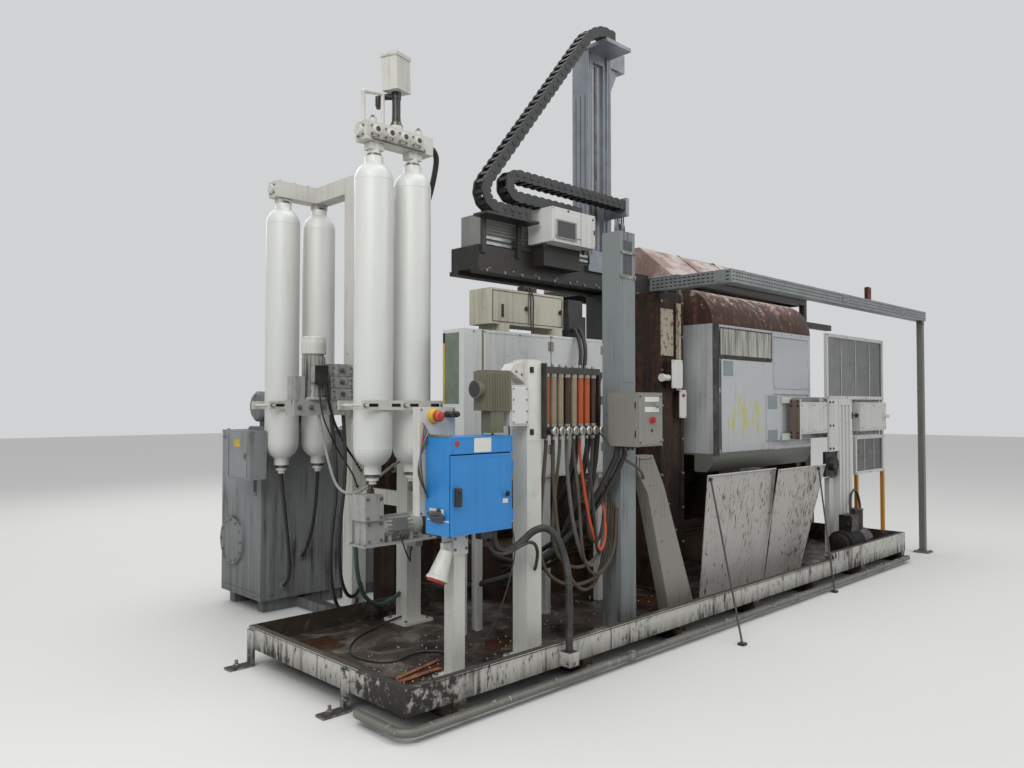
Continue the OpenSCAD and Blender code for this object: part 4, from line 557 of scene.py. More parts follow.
# Painted shade: dark discs on the fan cap stand for the shade in its vent holes.
vents = [turned((MOTOR_X + dx, MOTOR_Y + dy, 2081.6), UP, [(0, 7), (0.9, 7)], 8)
         for r in (24, 44, 62) for dx, dy in circle(r, 18)]
piece("valve_motor_vent_shade", vents, dark_steel_and_hole_shade)
plugs, screws = [], []
for i in range(3):
    z, front = 1680 + i * 85, 1830 + i * 8
    plugs += [box(672, 1872, z - 14, 692, 1928, z + 62), box(648, 1880, z - 6, 673, 1920, z + 34),
              turned((660, MOTOR_Y, z + 34), UP, [(0, 22), (18, 22), (22, 14), (32, 13)], 12)]
    screws += [screw(x, front, z + dz, 13, 8, 9, 11) for x, dz in product((738, 882), (-22, 18))]
    screws.append(turned((810, front, z), FRONT, [(0, 40), (8, 40), (9, 26), (24, 24)], 6))
screws += [turned((x, 1840, 1585), FRONT, [(0, 36), (10, 36), (12, 22), (24, 22)], 6)
           for x in (470, 560, 660, 780, 880)]
plugs += [box(553, 1776, 1744, 657, 1782, 1876), screw(605, 1800, 1758, 30, 20, 36, 16, DOWN)]
piece("valve_plugs", plugs, black_plastic, bevel=2)
glands = [screw(x, 1870, z, 20, 9, 13, 14) for x, z in ((960, 1010), (958, 1170), (974, 1148), (990, 1126))]
piece("valve_lead_glands", glands, black_plastic)
piece("valve_screws", screws, zinc_bolts)

# Circulation pump: a small finned motor drives a cast pump on a chipped bracket under the
# front bottles; steel pipes lead up to the necks.
stubs = [rod((600, FRONT_Y, 1039), (600, FRONT_Y, 1097), 34), rod((925, FRONT_Y, 1050), (925, FRONT_Y, 1097), 34),
         turned((925, FRONT_Y, 1030), UP, [(0, 40), (20, 46), (32, 46)], 6),
         screw(600, FRONT_Y, 1040, 52, 24, 26, 40, UP, 6)]
piece("pump_neck_pipes", stubs, neck_steel)
fan = [turned((934, 1140, 825), RIGHT, [(0, 140), (8, 140), (11, 122), (11, 0.5)], 36),
       box(700, 1050, 800, 800, 1076, 880), screw(750, 1062, 800, 24, 16, 26, 14, DOWN)]
piece("pump_fan_cap", fan, motor_enamel, bevel=1.5)
bolts = [nut(x, y, z, FRONT, 11) for y, xs, zs in ((1080, (525, 616), (752, 856)), (1060, (500, 600), (900, 1018)))
         for x, z in product(xs, zs)]
bolts += [nut(x, y, 730, UP, 12) for x, y in product((486, 1000), (1068, 1212))]
piece("pump_bolts", bolts, zinc_bolts)

# Shot unit: the injection cylinder between two square forged heads, tied by four rods with
# round nuts; oil ports stand on its heads. Brown with rust and oil, like the tower beside it.
AXIS_Y, AXIS_Z = 1800, 1300
# Brown iron: matt and almost black, with rust in its hollows and a few oily glints.
brown_iron = oily_iron("rusty_brown_casting", "#1b1613", "#3a2e26", "#4c3325", 0.45, rough=0.55)
dress(["shot_unit"], brown_iron, 3)
bolts, ports = [], []
for y, z, (x, way) in product((1645, 1955), (1145, 1455), ((1150, -1), (2650, 1))):
    bolts.append(screw(x, y, z, 74, 30, 34, 66, (way, 0, 0), 6))
for x in (1225, 2575):
    ports += [box(x - 45, 1755, 1490, x + 45, 1845, 1512),
              turned((x, AXIS_Y, 1512), UP, [(0, 66), (26, 66), (30, 52), (48, 52)], 24)]
    bolts += [screw(x + dx, AXIS_Y + dy, 1512, 16, 11, 12, 13, UP) for dx, dy in product((-33, 33), (-33, 33))]
bolts += [nut(x, y, 30, UP, 18) for x, y in product((1130, 1330), (1645, 1955))]
for way, x, z in product((-1, 1), (2590, 2640), (1250, 1350)):
    bolts.append(screw(x, AXIS_Y + way * 265, z, 26, 13, 14, 22, (0, way, 0)))
piece("shot_tie_nuts", bolts, zinc_bolts)
piece("shot_oil_ports", ports, brown_iron, bevel=2)
rod_gland = [turned((2652, AXIS_Y, AXIS_Z), RIGHT, [(0, 150), (30, 150), (40, 96), (48, 96)], 32)]
piece("shot_rod_gland", rod_gland, neck_steel)

# Platens and toggle: cast iron, machined on their faces and left bare, with lifting eyes on
# top and heavy bolts; four polished and oiled bars tie the outer platens together.
# Machined iron has a dull brown glint; the oiled bars mirror the light softly.
platen_iron = oily_iron("machined_platen_iron", "#2e2823", "#5b5148", "#6b4a35", 0.3, metallic=0.7)
polished_bar = moulded("polished_and_oiled_bar", "#a2a19c", 0.25, dust="#4b3f33", share=0.5, metallic=1.0)
dress(["fixed_platen", "moving_platen", "rear_platen", "closing_gear"], platen_iron, 4)
dress(["tie_bars"], polished_bar)
eyes, bolts, caps = [], [], []
for x, y, z in ((3275, 1110, 2078), (3275, 2400, 2090), (4750, 1200, 2090), (4750, 2400, 2090),
                (6325, 1200, 2090), (6325, 2400, 2090)):
    eyes.append(screw(x, y, z, 50, 26, 30, 34, UP, 20))
    ring = [(x + dx, y, 2150 + dz) for dx, dz in circle(30, 20)]
    eyes += [rod(a, b, 15, 8) for a, b in zip(ring, ring[1:] + ring[:1])]
for dy, dz in product((-415, 415), (-415, 415)):
    y, z = AXIS_Y + dy, AXIS_Z + dz
    bolts += [nut(x, y + a, z + b, axis, 14) for x, axis in ((3050, LEFT), (6500, RIGHT))
              for a, b in circle(150, 8, 0.39)]
    caps += [turned((x, y, z), axis, [(0, 150), (8, 150), (9, 60), (10, 60)], 36)
             for x, axis in ((2890, LEFT), (6700, RIGHT))]
for x, z in product((3110, 3275, 3440), (700, AXIS_Z, 1900)):
    bolts += [nut(x, 1050, z, FRONT, 20), nut(x, 2550, z, BACK, 20)]
bolts += [nut(6560, AXIS_Y + dy, AXIS_Z + dz, RIGHT, 14) for dy, dz in circle(147, 12)]
piece("platen_lifting_eyes", eyes, platen_iron)
piece("platen_bolts", bolts, zinc_bolts)
piece("tie_bar_end_plates", caps, polished_bar)
ports = []
for x0, x, x1 in ((6640, 6680, 6720), (6860, 6897, 6935)):
    ports += [box(x0, 1740, 1430, x1, 1860, 1450), rod((x, AXIS_Y, 1450), (x, AXIS_Y, 1490), 60)]
piece("closing_cylinder_ports", ports, platen_iron, bevel=2)

# Tower: a brown welded box column with flanges beside the fixed platen. It carries the end
# of the tray, two terminal boxes, an air cylinder and a strip of old beige paint.
dress(["side_tower"], brown_iron, 3)
# Beige enamel: worn to rust in large scabs. Box white: clean, with thin grey runs.
beige_enamel = aged_paint("old_beige_enamel", "#a89f8c", grime="#4b3a2c", rust="#4b2f22", streaks=0.9,
                          wear=0.8, patch=0.7)
white_box = aged_paint("white_box_enamel", "#c9c9c5", grime="#6b6355", streaks=0.35, wear=0.1)
lids = [box(3056, 562, 1736, 3204, 571, 1964), box(3206, 594, 1496, 3304, 601, 1724)]
piece("tower_box_lids", lids, white_box, bevel=2)
strip = [box(3222, 636, 1500, 3292, 640.5, 2440), box(3008, 636, 2000, 3180, 640.5, 2380)]
piece("tower_beige_strip", strip, beige_enamel, bevel=1)
cylinder = [turned((2960, 600, 1820), RIGHT, [(0, 62), (18, 62), (19, 50), (142, 50), (143, 62), (160, 62)], 28),
            box(3000, 598, 1796, 3040, 641, 1844)]
piece("tower_air_cylinder", cylinder, white_box)
screws = [screw(x, 562, z, 10, 3, 4, 7) for x, z in product((3068, 3192), (1748, 1952))]
screws += [screw(x, 594, z, 10, 3, 4, 7) for x, z in product((3216, 3294), (1508, 1712))]
screws += [nut(x, 640, z, FRONT, 14) for x, z in product((3020, 3310), range(200, 2450, 280))]
piece("tower_screws", screws, zinc_bolts)
# Signal red: the only saturated spots on the machine beside the orange and the blue.
signal_red = moulded("red_moulded_plastic", "#a52b20", 0.4)
piece("tower_red_button", [screw(3255, 594, 1680, 26, 10, 16, 20, sides=20)], signal_red)


# Guard over the shot end: sheet steel leaves on square posts, sprayed white, with a narrow
# olive edge strip, lift-off hinges and latches, a black handle and a window in the end plate.
def border(x0, z0, x1, z1, wide, y0, y1):
    """Four narrow strips round an upright rectangle."""
    return [box(x0, y0, z0, x1, y1, z0 + wide), box(x0, y0, z1 - wide, x1, y1, z1),
            box(x0, y0, z0, x0 + wide, y1, z1), box(x1 - wide, y0, z0, x1, y1, z1)]


# Guard white: cool and clean, with brown drips and a dirty foot. Olive: a dull thin stripe.
guard_enamel = aged_paint("white_guard_enamel", "#c3c5c3", grime="#5b5347", streaks=0.3, wear=0.2,
                          foot=(1090, 1500, 0.5), patch=0.1)
olive_edge = aged_paint("olive_edge_enamel", "#6d6a45", grime="#3a3426", streaks=0.5, wear=0.3)
# The end window: a thick sheet gone dull and green, too clouded to see through.
end_window = moulded("clouded_green_sheet", "#6f7a70", 0.3, dust="#4c4a40", share=0.7)
dress(["guard_panels", "rear_guard"], guard_enamel, 2)
piece("guard_olive_strip", [box(1206, 788.5, 1092, 1221, 790, 2098)], olive_edge)
piece("guard_end_window", [box(1047.5, 838, 1610, 1050, 978, 2075)], end_window, bevel=1)
piece("guard_yellow_strip", [box(1046.5, 980, 1610, 1050, 998, 2010)], blank_yellow)
seals = [box(1046.5, 980, 2010, 1050, 998, 2078)]
seals += [box(x - 2, 789.6, 1094, x + 5, 790.2, 2096) for x in (1875, 2464)]
piece("guard_rubber_seals", seals, black_plastic)
folds = []
for x0, x1 in ((1226, 1870), (1884, 2458), (2472, 2694)):
    folds += border(x0, 1100, x1, 2092, 12, 787.5, 790)
piece("guard_folded_edges", folds, guard_enamel, bevel=1.2)
handle = [rod((2204, 790, z), (2204, 752, z), 14) for z in (1560, 1660)]
handle += [turned((2204, 752, 1552), UP, [(0, 12), (6, 20), (110, 20), (116, 12)], 16)]
piece("guard_handle", handle, black_plastic)
hinges = []
for z, x in product((1250, 1600, 1985), (1862, 2452)):
    hinges += [rod((x + 12, 782, z), (x + 12, 782, z + 70), 14), box(x - 16, 786.5, z + 2, x + 40, 790, z + 68)]
hinges += [screw(x, 787.5, z, 13, 2, 3.5, 8, sides=14) for x, z in product((1135, 1560, 2160, 2580), (1108, 2084))]
for x0, x1 in ((2730, 4090), (4140, 5500), (5570, 6930)):
    hinges += [nut(x, 2795, z, BACK, 8) for x, z in product((x0 + 20, (x0 + x1) / 2, x1 - 20), (530, 1400, 2265))]
piece("guard_hinges_and_screws", hinges, zinc_bolts)

# Relay box and coupler box on the guard: cream enamelled sheet with a door, a turn lock and a
# row of glands, and beside it a black moulded coupler housing with ribs.
# Cream enamel: a yellowish white with thin brown runs.
cream_enamel = aged_paint("cream_enamel", "#b4b1a0", grime="#544e42", streaks=0.4, wear=0.15, patch=0.15)
dress(["relay_box"], cream_enamel, 2)
dress(["coupler_box"], black_plastic, 2)
gap = border(1386, 2176, 2094, 2392, 4, 878, 880.2) + [box(1738, 878, 2176, 1742, 880.2, 2392)]
piece("relay_door_gap", gap, dark_steel_and_hole_shade)
locks = [box(1470, 877, 2210, 1494, 880, 2300), box(1476, 872, 2220, 1488, 878, 2290)]
for x in (1712, 2066):
    locks += [screw(x, 880, 2284, 30, 6, 9, 24, sides=24), box(x - 5, 862, 2266, x + 5, 871, 2302)]
piece("relay_turn_locks", locks, black_plastic, bevel=1)
ribs = [box(x, 851, 2110, x + 8, 855.5, 2255) for x in range(2122, 2284, 18)]
ribs += [box(2118, 866, z, 2284, 870.5, z + 8) for z in (2268, 2330)]
piece("coupler_ribs", ribs, black_plastic, bevel=1.5)
sensor = [box(1720, 905, 2407, 1850, 975, 2452), screw(1785, 905, 2430, 34, 20, 25, 26, sides=20)]
piece("relay_sensor", sensor, black_plastic, bevel=2)


# Splash sheets: two loose steel sheets that lean in front of the die space on thin props.
# Their white paint is beaten off in tall chips and drips; the top edge is rolled round a wire.
def on_sheet(x, h, lean, out):
    """A place on a leaning sheet: x along, h up its face, out in front of it."""
    a = math.radians(lean)
    return x, 330 - h * math.sin(a) - (4 + out) * math.cos(a), DECK + 0.8 + h * math.cos(a) - out * math.sin(a)


# Beaten white: greyed, with long black chips. Dark paint: sooty, with rusty chips.
splash_enamel = aged_paint("battered_white_enamel", "#aeaba6", grime="#6a6056", rust="#262019",
                           streaks=0.5, wear=0.76, chip=24, tall=3.5, patch=0.1, foot=(110, 330, 0.6))
dark_paint = aged_paint("dark_steel_paint", "#23211f", grime="#4d463c", rust="#5b3c2a", streaks=0.5, wear=0.4)
dress(["splash_shield"], splash_enamel, 0)
dress(["shield_props"], dark_paint, 0)
lips = []
for lean, x0, x1, low0, low1 in ((7, 3000, 4060, 3060, 4050), (10, 4020, 4900, 4020, 4720)):
    lips.append(rod(on_sheet(x0, 955, lean, 3), on_sheet(x1, 955, lean, 3), 15, 12))
    lips += [rod(on_sheet(low, 4, lean, 2), on_sheet(high, 955, lean, 2), 8, 8)
             for low, high in ((low0, x0), (low1, x1))]
creases = [rod(on_sheet(x0, 20, lean, -0.5), on_sheet(x1, 940, lean, -0.5), 6, 6)
           for lean, x0, x1 in ((7, 3330, 3400), (7, 3760, 3700), (10, 4250, 4390))]
piece("splash_rolled_edge", lips, splash_enamel)
piece("splash_creases", creases, splash_enamel)

# Safety door: a sheet door on rollers that slides along the machine, with a curved skirt, a
# clouded window over a black rubber strip, and a yellow smear of marking paint. It is light
# grey enamel with a black rubber seal on its leading edge; the skirt is painted darker grey as painted shade.
door_enamel = aged_paint("light_grey_door_enamel", "#b2b4b5", grime="#6a655c", streaks=0.5, wear=0.12,
                         dusty=0.5, patch=0.12)
tree = door_enamel.node_tree
place = add(tree, "TexCoord", out="Object")
high = add(tree, "SeparateXYZ", {0: place}, "Z")
# Painted shade: below 1.194 m the skirt is darkened to the grey of the shadow it lies in.
coat(door_enamel, add(tree, "MapRange", {0: high, 1: 1.200, 2: 1.194}), "#686a64")
middle = at(4080, 0, 0).x
across = add(tree, "MapRange", {0: add(tree, "SeparateXYZ", {0: place}, "X"), 1: middle - 0.40,
                                2: middle + 0.40, 3: -1, 4: 1}, clamp=False)
upward = add(tree, "MapRange", {0: high, 1: 1.24, 2: 1.70, 3: -1, 4: 1}, clamp=False)
far = add(tree, "Math", {0: add(tree, "Math", {0: across, 1: across}, operation="MULTIPLY"),
                         1: add(tree, "Math", {0: upward, 1: upward}, operation="MULTIPLY")})
slanted = add(tree, "Mapping", {"Vector": place, "Rotation": (0, 0.5, 0),
                                "Scale": (1000 / 60, 1000 / 60, 1000 / 260)})
brush = add(tree, "TexNoise", {"Vector": slanted, "Scale": 1.0, "Detail": 7, "Roughness": 0.6})
smear = add(tree, "Math", {0: brush, 1: add(tree, "Math", {0: far, 1: 0.16}, operation="MULTIPLY")},
            operation="SUBTRACT")
coat(door_enamel, add(tree, "MapRange", {0: smear, 1: 0.47, 2: 0.53, 4: 0.75}), "#b7b04a")
dress(["safety_door"], door_enamel, 2)
# Rubber: duller than the plastic, grey with dust in its lips.
rubber_seal = moulded("black_rubber_seal", "#1c1b1a", 0.75, share=0.5)
seal = [box(3496, 459, 1182, 3588, 462, 2278), box(3622, 462, 1996, 4496, 469.5, 2026),
        box(3612, 464, 2248, 4506, 469.5, 2258), box(4494, 464, 1996, 4506, 469.5, 2258),
        box(3612, 464, 1996, 3622, 469.5, 2258)]
piece("door_rubber_seal", seal, rubber_seal, "safety_door", bevel=1.5)
# Polycarbonate: pale and clouded, with grey dirt that has run down it in streaks.
clouded, tree, shader = material("clouded_polycarbonate", 0.32)
shader.inputs["IOR"].default_value = 1.58
drawn = add(tree, "Mapping", {"Vector": add(tree, "TexCoord", out="Object"),
                              "Scale": (1000 / 26, 1000 / 26, 1000 / 420)})
dirt = add(tree, "TexNoise", {"Vector": drawn, "Scale": 1.0, "Detail": 6, "Roughness": 0.6})
dirt = add(tree, "MapRange", {0: dirt, 1: 0.38, 2: 0.62})
tone = add(tree, "Mix", {0: dirt, 6: "#b4b6ac", 7: "#6a685c"}, 2, data_type="RGBA")
tree.links.new(tone, shader.inputs["Base Color"])
piece("door_clouded_window", [box(3622, 466, 2026, 4494, 469.8, 2248)], clouded, "safety_door")
# Blue-grey enamel: a cool dull spot on the leaf.
blue_grey = aged_paint("blue_grey_enamel", "#7f898d", grime="#40464b", streaks=0.4, wear=0.1)
plates = [box(3653, 456.5, 1850, 3806, 459, 1976), box(4380, 445.2, 1565, 4560, 446, 1688),
          box(4380, 445.2, 1284, 4560, 446, 1375)]
piece("door_blue_plates", plates, blue_grey, "safety_door", bevel=0.3)
# Pale sheet enamel: a shade bluer and cleaner than the leaf beside it.
pale_sheet = aged_paint("pale_grey_sheet_enamel", "#a9adb1", grime="#6b6760", streaks=0.35, wear=0.05)
leaf = [box(3622, 459, 1204, 4484, 461.6, 1988)]
piece("door_leaf_sheet", leaf, door_enamel, "safety_door", bevel=0.8)
piece("door_right_sheet", [box(4530, 466.5, 1752, 5224, 470, 2222)], pale_sheet, "safety_door", bevel=1)
screws = [screw(x, y, z, 12, 1.8, 3, 7) for y, xs, zs in (
    (461, (3525,), range(1240, 2260, 170)), (470, range(3560, 5270, 190), (1200, 2262)),
    (470, (5258,), range(1240, 2260, 170)), (466.5, (4545, 5210), (1770, 1990, 2205)),
    (456.5, (3664, 3795), (1860, 1966))) for x, z in product(xs, zs)]
piece("door_screws", screws, zinc_bolts, "safety_door")

# The door's rolled top is bare rusty plate, brown-red and dull; old pale paint still flakes
# along its crest. Rivets hold it to the door's ribs.
band_plate = oily_iron("rusty_rolled_plate", "#2d1f1a", "#4a3229", "#6b4637", 0.45, metallic=0.2, rough=0.65)
tree = band_plate.node_tree
place = add(tree, "TexCoord", out="Object")
crest = add(tree, "MapRange", {0: add(tree, "SeparateXYZ", {0: place}, "Z"), 1: 2.40, 2: 2.60})
flakes = add(tree, "TexNoise", {"Vector": place, "Scale": 1000 / 90, "Detail": 9, "Roughness": 0.72})
flakes = add(tree, "Math", {0: crest, 1: 0.16, 2: flakes}, operation="MULTIPLY_ADD")
coat(band_plate, add(tree, "MapRange", {0: flakes, 1: 0.62, 2: 0.68, 4: 0.9}), "#a3978c")
dress(["door_top_band"], band_plate, 2)
rivets = []
for x, a in product(range(3540, 5280, 145), (0.06, 1.5)):
    out = Vector((0, -math.cos(a), math.sin(a)))
    rivets.append(turned(Vector((x, 790, 2280)) + out * 319.5, out, [(0, 18), (2, 17), (5, 8)], 12))
piece("door_band_rivets", rivets, band_plate, "safety_door")

# Hood: one sheet that slopes up from the door and runs flat to the rear, on square posts. The
# pink primer shows through worn white paint; lap seams with bolts run down the slope.
hood_primer = aged_paint("worn_white_over_pink_primer", "#8b6f66", grime="#4b3a33", rust="#553528",
                         streaks=0.5, wear=0.5)
tree = hood_primer.node_tree
left_over = add(tree, "TexNoise", {"Vector": add(tree, "TexCoord", out="Object"), "Scale": 1000 / 380, "Detail": 9,
                                   "Roughness": 0.68})
coat(hood_primer, add(tree, "MapRange", {0: left_over, 1: 0.47, 2: 0.56, 4: 0.85}), "#b5aca6")
dress(["hood_sheet"], hood_primer, 1)
dress(["hood_frame"], dark_paint, 2)
laps = []
for x in (4240, 4860, 5480):
    laps += [rod((x, 932, 2752), (x, 1288, 3046), 12, 8), box(x - 20, 1290, 3045, x + 20, 2495, 3049)]
bolts = [nut(x, 905, 2751, UP, 9) for x in range(3680, 6100, 240)]
bolts += [nut(x, y, 3045, UP, 9) for x, y in product((3650, 6090), range(1330, 2480, 220))]
piece("hood_lap_seams", laps, hood_primer)
piece("hood_bolts", bolts, zinc_bolts)

# Door drive: a grooved stand, a belt unit with two aluminium rails behind white screwed
# covers, a brown end plate, a gearbox under the plate and a black motor with pump in the pan.
# Drive white: dry and dusty. Machinery black: wet with oil, under brown dust.
drive_enamel = aged_paint("white_drive_enamel", "#c0c0bc", grime="#5c554a", streaks=0.3, wear=0.2, patch=0.1)
machinery_black = oily_iron("oily_black_machinery", "#161514", "#2c2a27", "#3c3028", 0.25, rough=0.4, metallic=0.3)
dress(["drive_stand", "door_drive"], drive_enamel, 2)
dress(["drive_motor"], machinery_black, 4)
# Anodised rails: a satin metal grey that stands out from the white covers.
rail_aluminium = moulded("anodised_rail_aluminium", "#94979a", 0.36, dust="#4b4640", share=0.5, metallic=0.9)
rails = []
for (x0, x1), (z0, z1), k in product(((4803, 5374), (6172, 6856)), ((1282, 1329), (1632, 1678)), range(3)):
    strip = (z1 - z0) / 3
    rails.append(box(x0, 424, z0 + k * strip + 1, x1, 430, z0 + (k + 1) * strip - 3))
piece("drive_rails", rails, rail_aluminium, bevel=1)
# Brown paint: dull, with darker runs.
end_brown = aged_paint("brown_end_plate_paint", "#6a5b50", grime="#3b2e26", streaks=0.6, wear=0.3)
piece("drive_end_plate", [box(4776.5, 337, 1284, 4780, 440, 1656)], end_brown, bevel=1)
screws = [screw(4776.5, y, z, 22, 5, 6.5, 18, LEFT, 16) for y, z in product((356, 420), (1305, 1345, 1595, 1635))]
for x0, x1 in ((4836, 5340), (6196, 6824)):
    screws += [screw(x, 344, z, 13, 2, 3.5, 8) for x, z in product((x0, (x0 + x1) / 2, x1), (1364, 1596))]
screws += [screw(x, 424, z, 14, 4, 5, 11) for x, z in product((6190, 6330, 6520, 6700, 6840), (1306, 1655))]
screws += [nut(x, 330, z, FRONT, 12) for x, z in product((5400, 5470), (1175, 1400, 1630))]
screws += [nut(x, y, 132, UP, 15) for x, y in product((5480, 5900), (300, 410))]
screws += [nut(5460 + dx, 300, 1020 + dz, FRONT, 8) for dx, dz in circle(50, 6)]
piece("drive_screws", screws, black_plastic)
handle = [rod((6160, 385, 1494), (6040, 385, 1494), 16), rod((6040, 385, 1460), (6040, 385, 1528), 20),
          screw(6160, 385, 1494, 44, 8, 12, 34, LEFT, 20)]
piece("drive_t_handle", handle, black_plastic)
fins = [rod((x, 190, 270), (x + 6, 190, 270), 262, 36) for x in range(5290, 5578, 18)]
fins += [turned((5250, 190, 270), LEFT, [(0, 204), (8, 204), (13, 170), (13, 0.5)], 32),
         box(5400, 126, 420, 5560, 130, 520),
         turned((5400, 160, 460), LEFT, [(0, 34), (18, 34), (22, 24), (33, 22)], 16)]
piece("drive_motor_fins", fins, machinery_black)
top_ring = [screw(5670, 190, 572, 124, 7, 8, 118, UP, 32)]
top_ring += [nut(5670 + dx, 190 + dy, 580, UP, 8) for dx, dy in circle(42, 6, step=1.05)]
piece("drive_pump_flange", top_ring, neck_steel)

# Mesh panels: welded wire in white angle frames, on two yellow-orange legs.
# The wire is galvanised and dusty, 3 mm thick and 9 mm apart, so it reads as a grey veil.
dress(["mesh_panels"], drive_enamel, 1)
mesh_wire = moulded("galvanised_mesh_wire", "#6b6d6e", 0.55, dust="#4a4740", share=0.7, metallic=0.4)
PITCH = 9
wires = []
for x0, x1, z0, z1 in ((5519, 6876, 1694, 2286), (6186, 6876, 904, 1240)):
    wires += [rod((x, 408, z0 - 4), (x, 408, z1 + 4), 3, 4) for x in range(x0, x1 + 1, PITCH)]
    wires += [rod((x0 - 4, 406, z), (x1 + 4, 406, z), 3, 4) for z in range(z0, z1 + 1, PITCH)]
piece("mesh_wires", wires, mesh_wire)
# Orange enamel: warm and dirty, the one strong colour low at this end.
leg_orange = aged_paint("yellow_orange_leg_enamel", "#b87a24", grime="#4b3a22", streaks=0.6, wear=0.3)
legs = [box(6178, 393, 134, 6216, 427, 868), box(6868, 393, 3, 6912, 427, 868)]
piece("mesh_orange_legs", legs, leg_orange, bevel=1)
bolts = [nut(x, 395, z, FRONT, 7) for xs, zs in (((5502, 5960, 6430, 6893), (1677, 2303)),
                                                 ((6169, 6520, 6893), (887, 1257))) for x, z in product(xs, zs)]
piece("mesh_screws", bolts, zinc_bolts)

# Cable tray: galvanised perforated channel over the door, in 2 m lengths joined by plates, with
# three rows of slots in its sides. Tied cables lie in it; the post is a square tube.
# Zinc coat: pale grey with a dull shine. Post enamel: dark, streaked and dusty.
galvanised = moulded("galvanised_tray_sheet", "#8b8f90", 0.42, dust="#4a443b", share=0.45, metallic=0.65)
post_enamel = aged_paint("dark_grey_post_enamel", "#66675f", grime="#2f2a25", streaks=0.7, wear=0.5, dusty=0.9)
dress(["cable_tray"], galvanised, 0.8)
dress(["tray_post"], post_enamel, 2)
SLOT_PITCH, ROWS = 42, (2538, 2566, 2594)
# Painted shade: the slots are thin dark plates on the sheet, standing for the shade seen through them.
slots = [box(x, -10.5, z, x + 26, -9.9, z + 9) for x, z in product(range(3010, 7040, SLOT_PITCH), ROWS)]
slots += [box(2989.5, y, z, 2990.1, y + 26, z + 9) for y, z in product(range(10, 715, SLOT_PITCH), ROWS)]
slots += [box(x, 89.9, ROWS[1], x + 26, 90.5, ROWS[1] + 9) for x in range(3100, 7040, SLOT_PITCH)]
piece("tray_slot_shade", slots, dark_steel_and_hole_shade)
joints = [box(2986, 40, 2532, 2989.4, 140, 2608)]
for x in (4990, 6400):
    joints.append(box(x - 60, -14, 2532, x + 60, -10.6, 2608))
    joints += [nut(x + dx, -14, z, FRONT, 7) for dx, z in product((-42, -16, 16, 42), (2550, 2590))]
piece("tray_joint_plates", joints, galvanised)
# Rusty plate: matt orange-brown over black scale.
rusty_plate = oily_iron("rusty_upright_plate", "#3f2418", "#5b3825", "#7d4c2f", 0.6, metallic=0.2, rough=0.7)
upright = [box(5660, 62, 2621, 5760, 70, 2765), box(5660, 62, 2621, 5668, 90, 2760),
           box(5752, 62, 2621, 5760, 90, 2760)]
piece("tray_rusty_upright", upright, rusty_plate, bevel=1)
bolts = [nut(x, y, 12, UP, 14) for x, y in product((6972, 7088), (-18, 98))]
bolts += [nut(x, 10, 2490, FRONT, 9) for x in (7015, 7045)]
piece("tray_post_bolts", bolts, zinc_bolts)

# Gantry: a dark beam on the fixed platen, a louvred cover over a pale rail, a white box with a
# dark window, and a tall aluminium mast with T-slots. Bare and enamelled steel, little dirt.
# Louvre enamel: matt grey under pale dust. Mast profile: a cool satin sheen.
louvre_enamel = aged_paint("grey_louvre_enamel", "#84857f", grime="#3a3732", streaks=0.3, wear=0.1, dusty=1.0)
mast_aluminium = moulded("anodised_mast_profile", "#8b9097", 0.38, dust="#5a564e", share=0.45, metallic=0.55)
dress(["gantry_beam"], dark_paint, 3)
dress(["gantry_bellows"], louvre_enamel, 1.5)
dress(["gantry_box"], white_box, 3)
dress(["gantry_mast"], mast_aluminium, 2)
pale_rail = [box(1560, 1173, z, 2740, 1176.2, z + 22) for z in (2776, 2816)]
piece("gantry_pale_rails", pale_rail, rail_aluminium, bevel=1)
bolts = [nut(x, y, 2575, axis, 14) for x, (y, axis) in product(range(1560, 3540, 180), ((1130, FRONT), (1470, BACK)))]
bolts += [nut(x, y, 2591, UP, 14) for x, y in product(range(1600, 3540, 240), (1140, 1460))]
bolts += [nut(x, 1120, z, FRONT, 16) for x, z in product((3120, 3420), (2180, 2480))]
piece("gantry_beam_bolts", bolts, zinc_bolts)
# Smoked glass: dark and a little dusty, with a soft reflection.
smoked = moulded("smoked_window", "#26262b", 0.38, share=0.35, dust="#4a4742")
window_frame = [box(2046, 889, z, 2276, 892, z + 12) for z in (2846, 2976)]
window_frame += [box(x, 889, 2858, x + 16, 892, 2976) for x in (2046, 2260)]
piece("gantry_box_bracket_cover", [box(2054, 1024, 2656, 2466, 1149, 2819)], dark_paint, bevel=2)
piece("gantry_box_window", [box(2062, 891.5, 2858, 2260, 894, 2976)], smoked, bevel=1)
piece("gantry_box_window_frame", window_frame, louvre_enamel, bevel=1)
gaps = [box(2334, 899.4, 2826, 2338, 900.3, 3074), box(2052, 893.4, 2872, 2328, 893.9, 2874),
        box(2490, 896, 2930, 2500, 900.4, 2966)]
piece("gantry_box_gaps", gaps, dark_steel_and_hole_shade)
lock = [screw(2480, 900, 3046, 16, 5, 7, 12, sides=16), screw(2190, 900, 3066, 18, 4, 6, 14, sides=16)]
lock += [screw(x, 900, z, 9, 2, 3, 5, sides=10) for x, z in product((2022, 2498), (2832, 3068))]
piece("gantry_box_lock", lock, black_plastic)
glands = [turned((x, 1000, 2820), DOWN, [(0, 32), (12, 32), (14, 26), (34, 20)], 12) for x in (2480, 2030)]
piece("gantry_box_glands", glands, black_plastic)
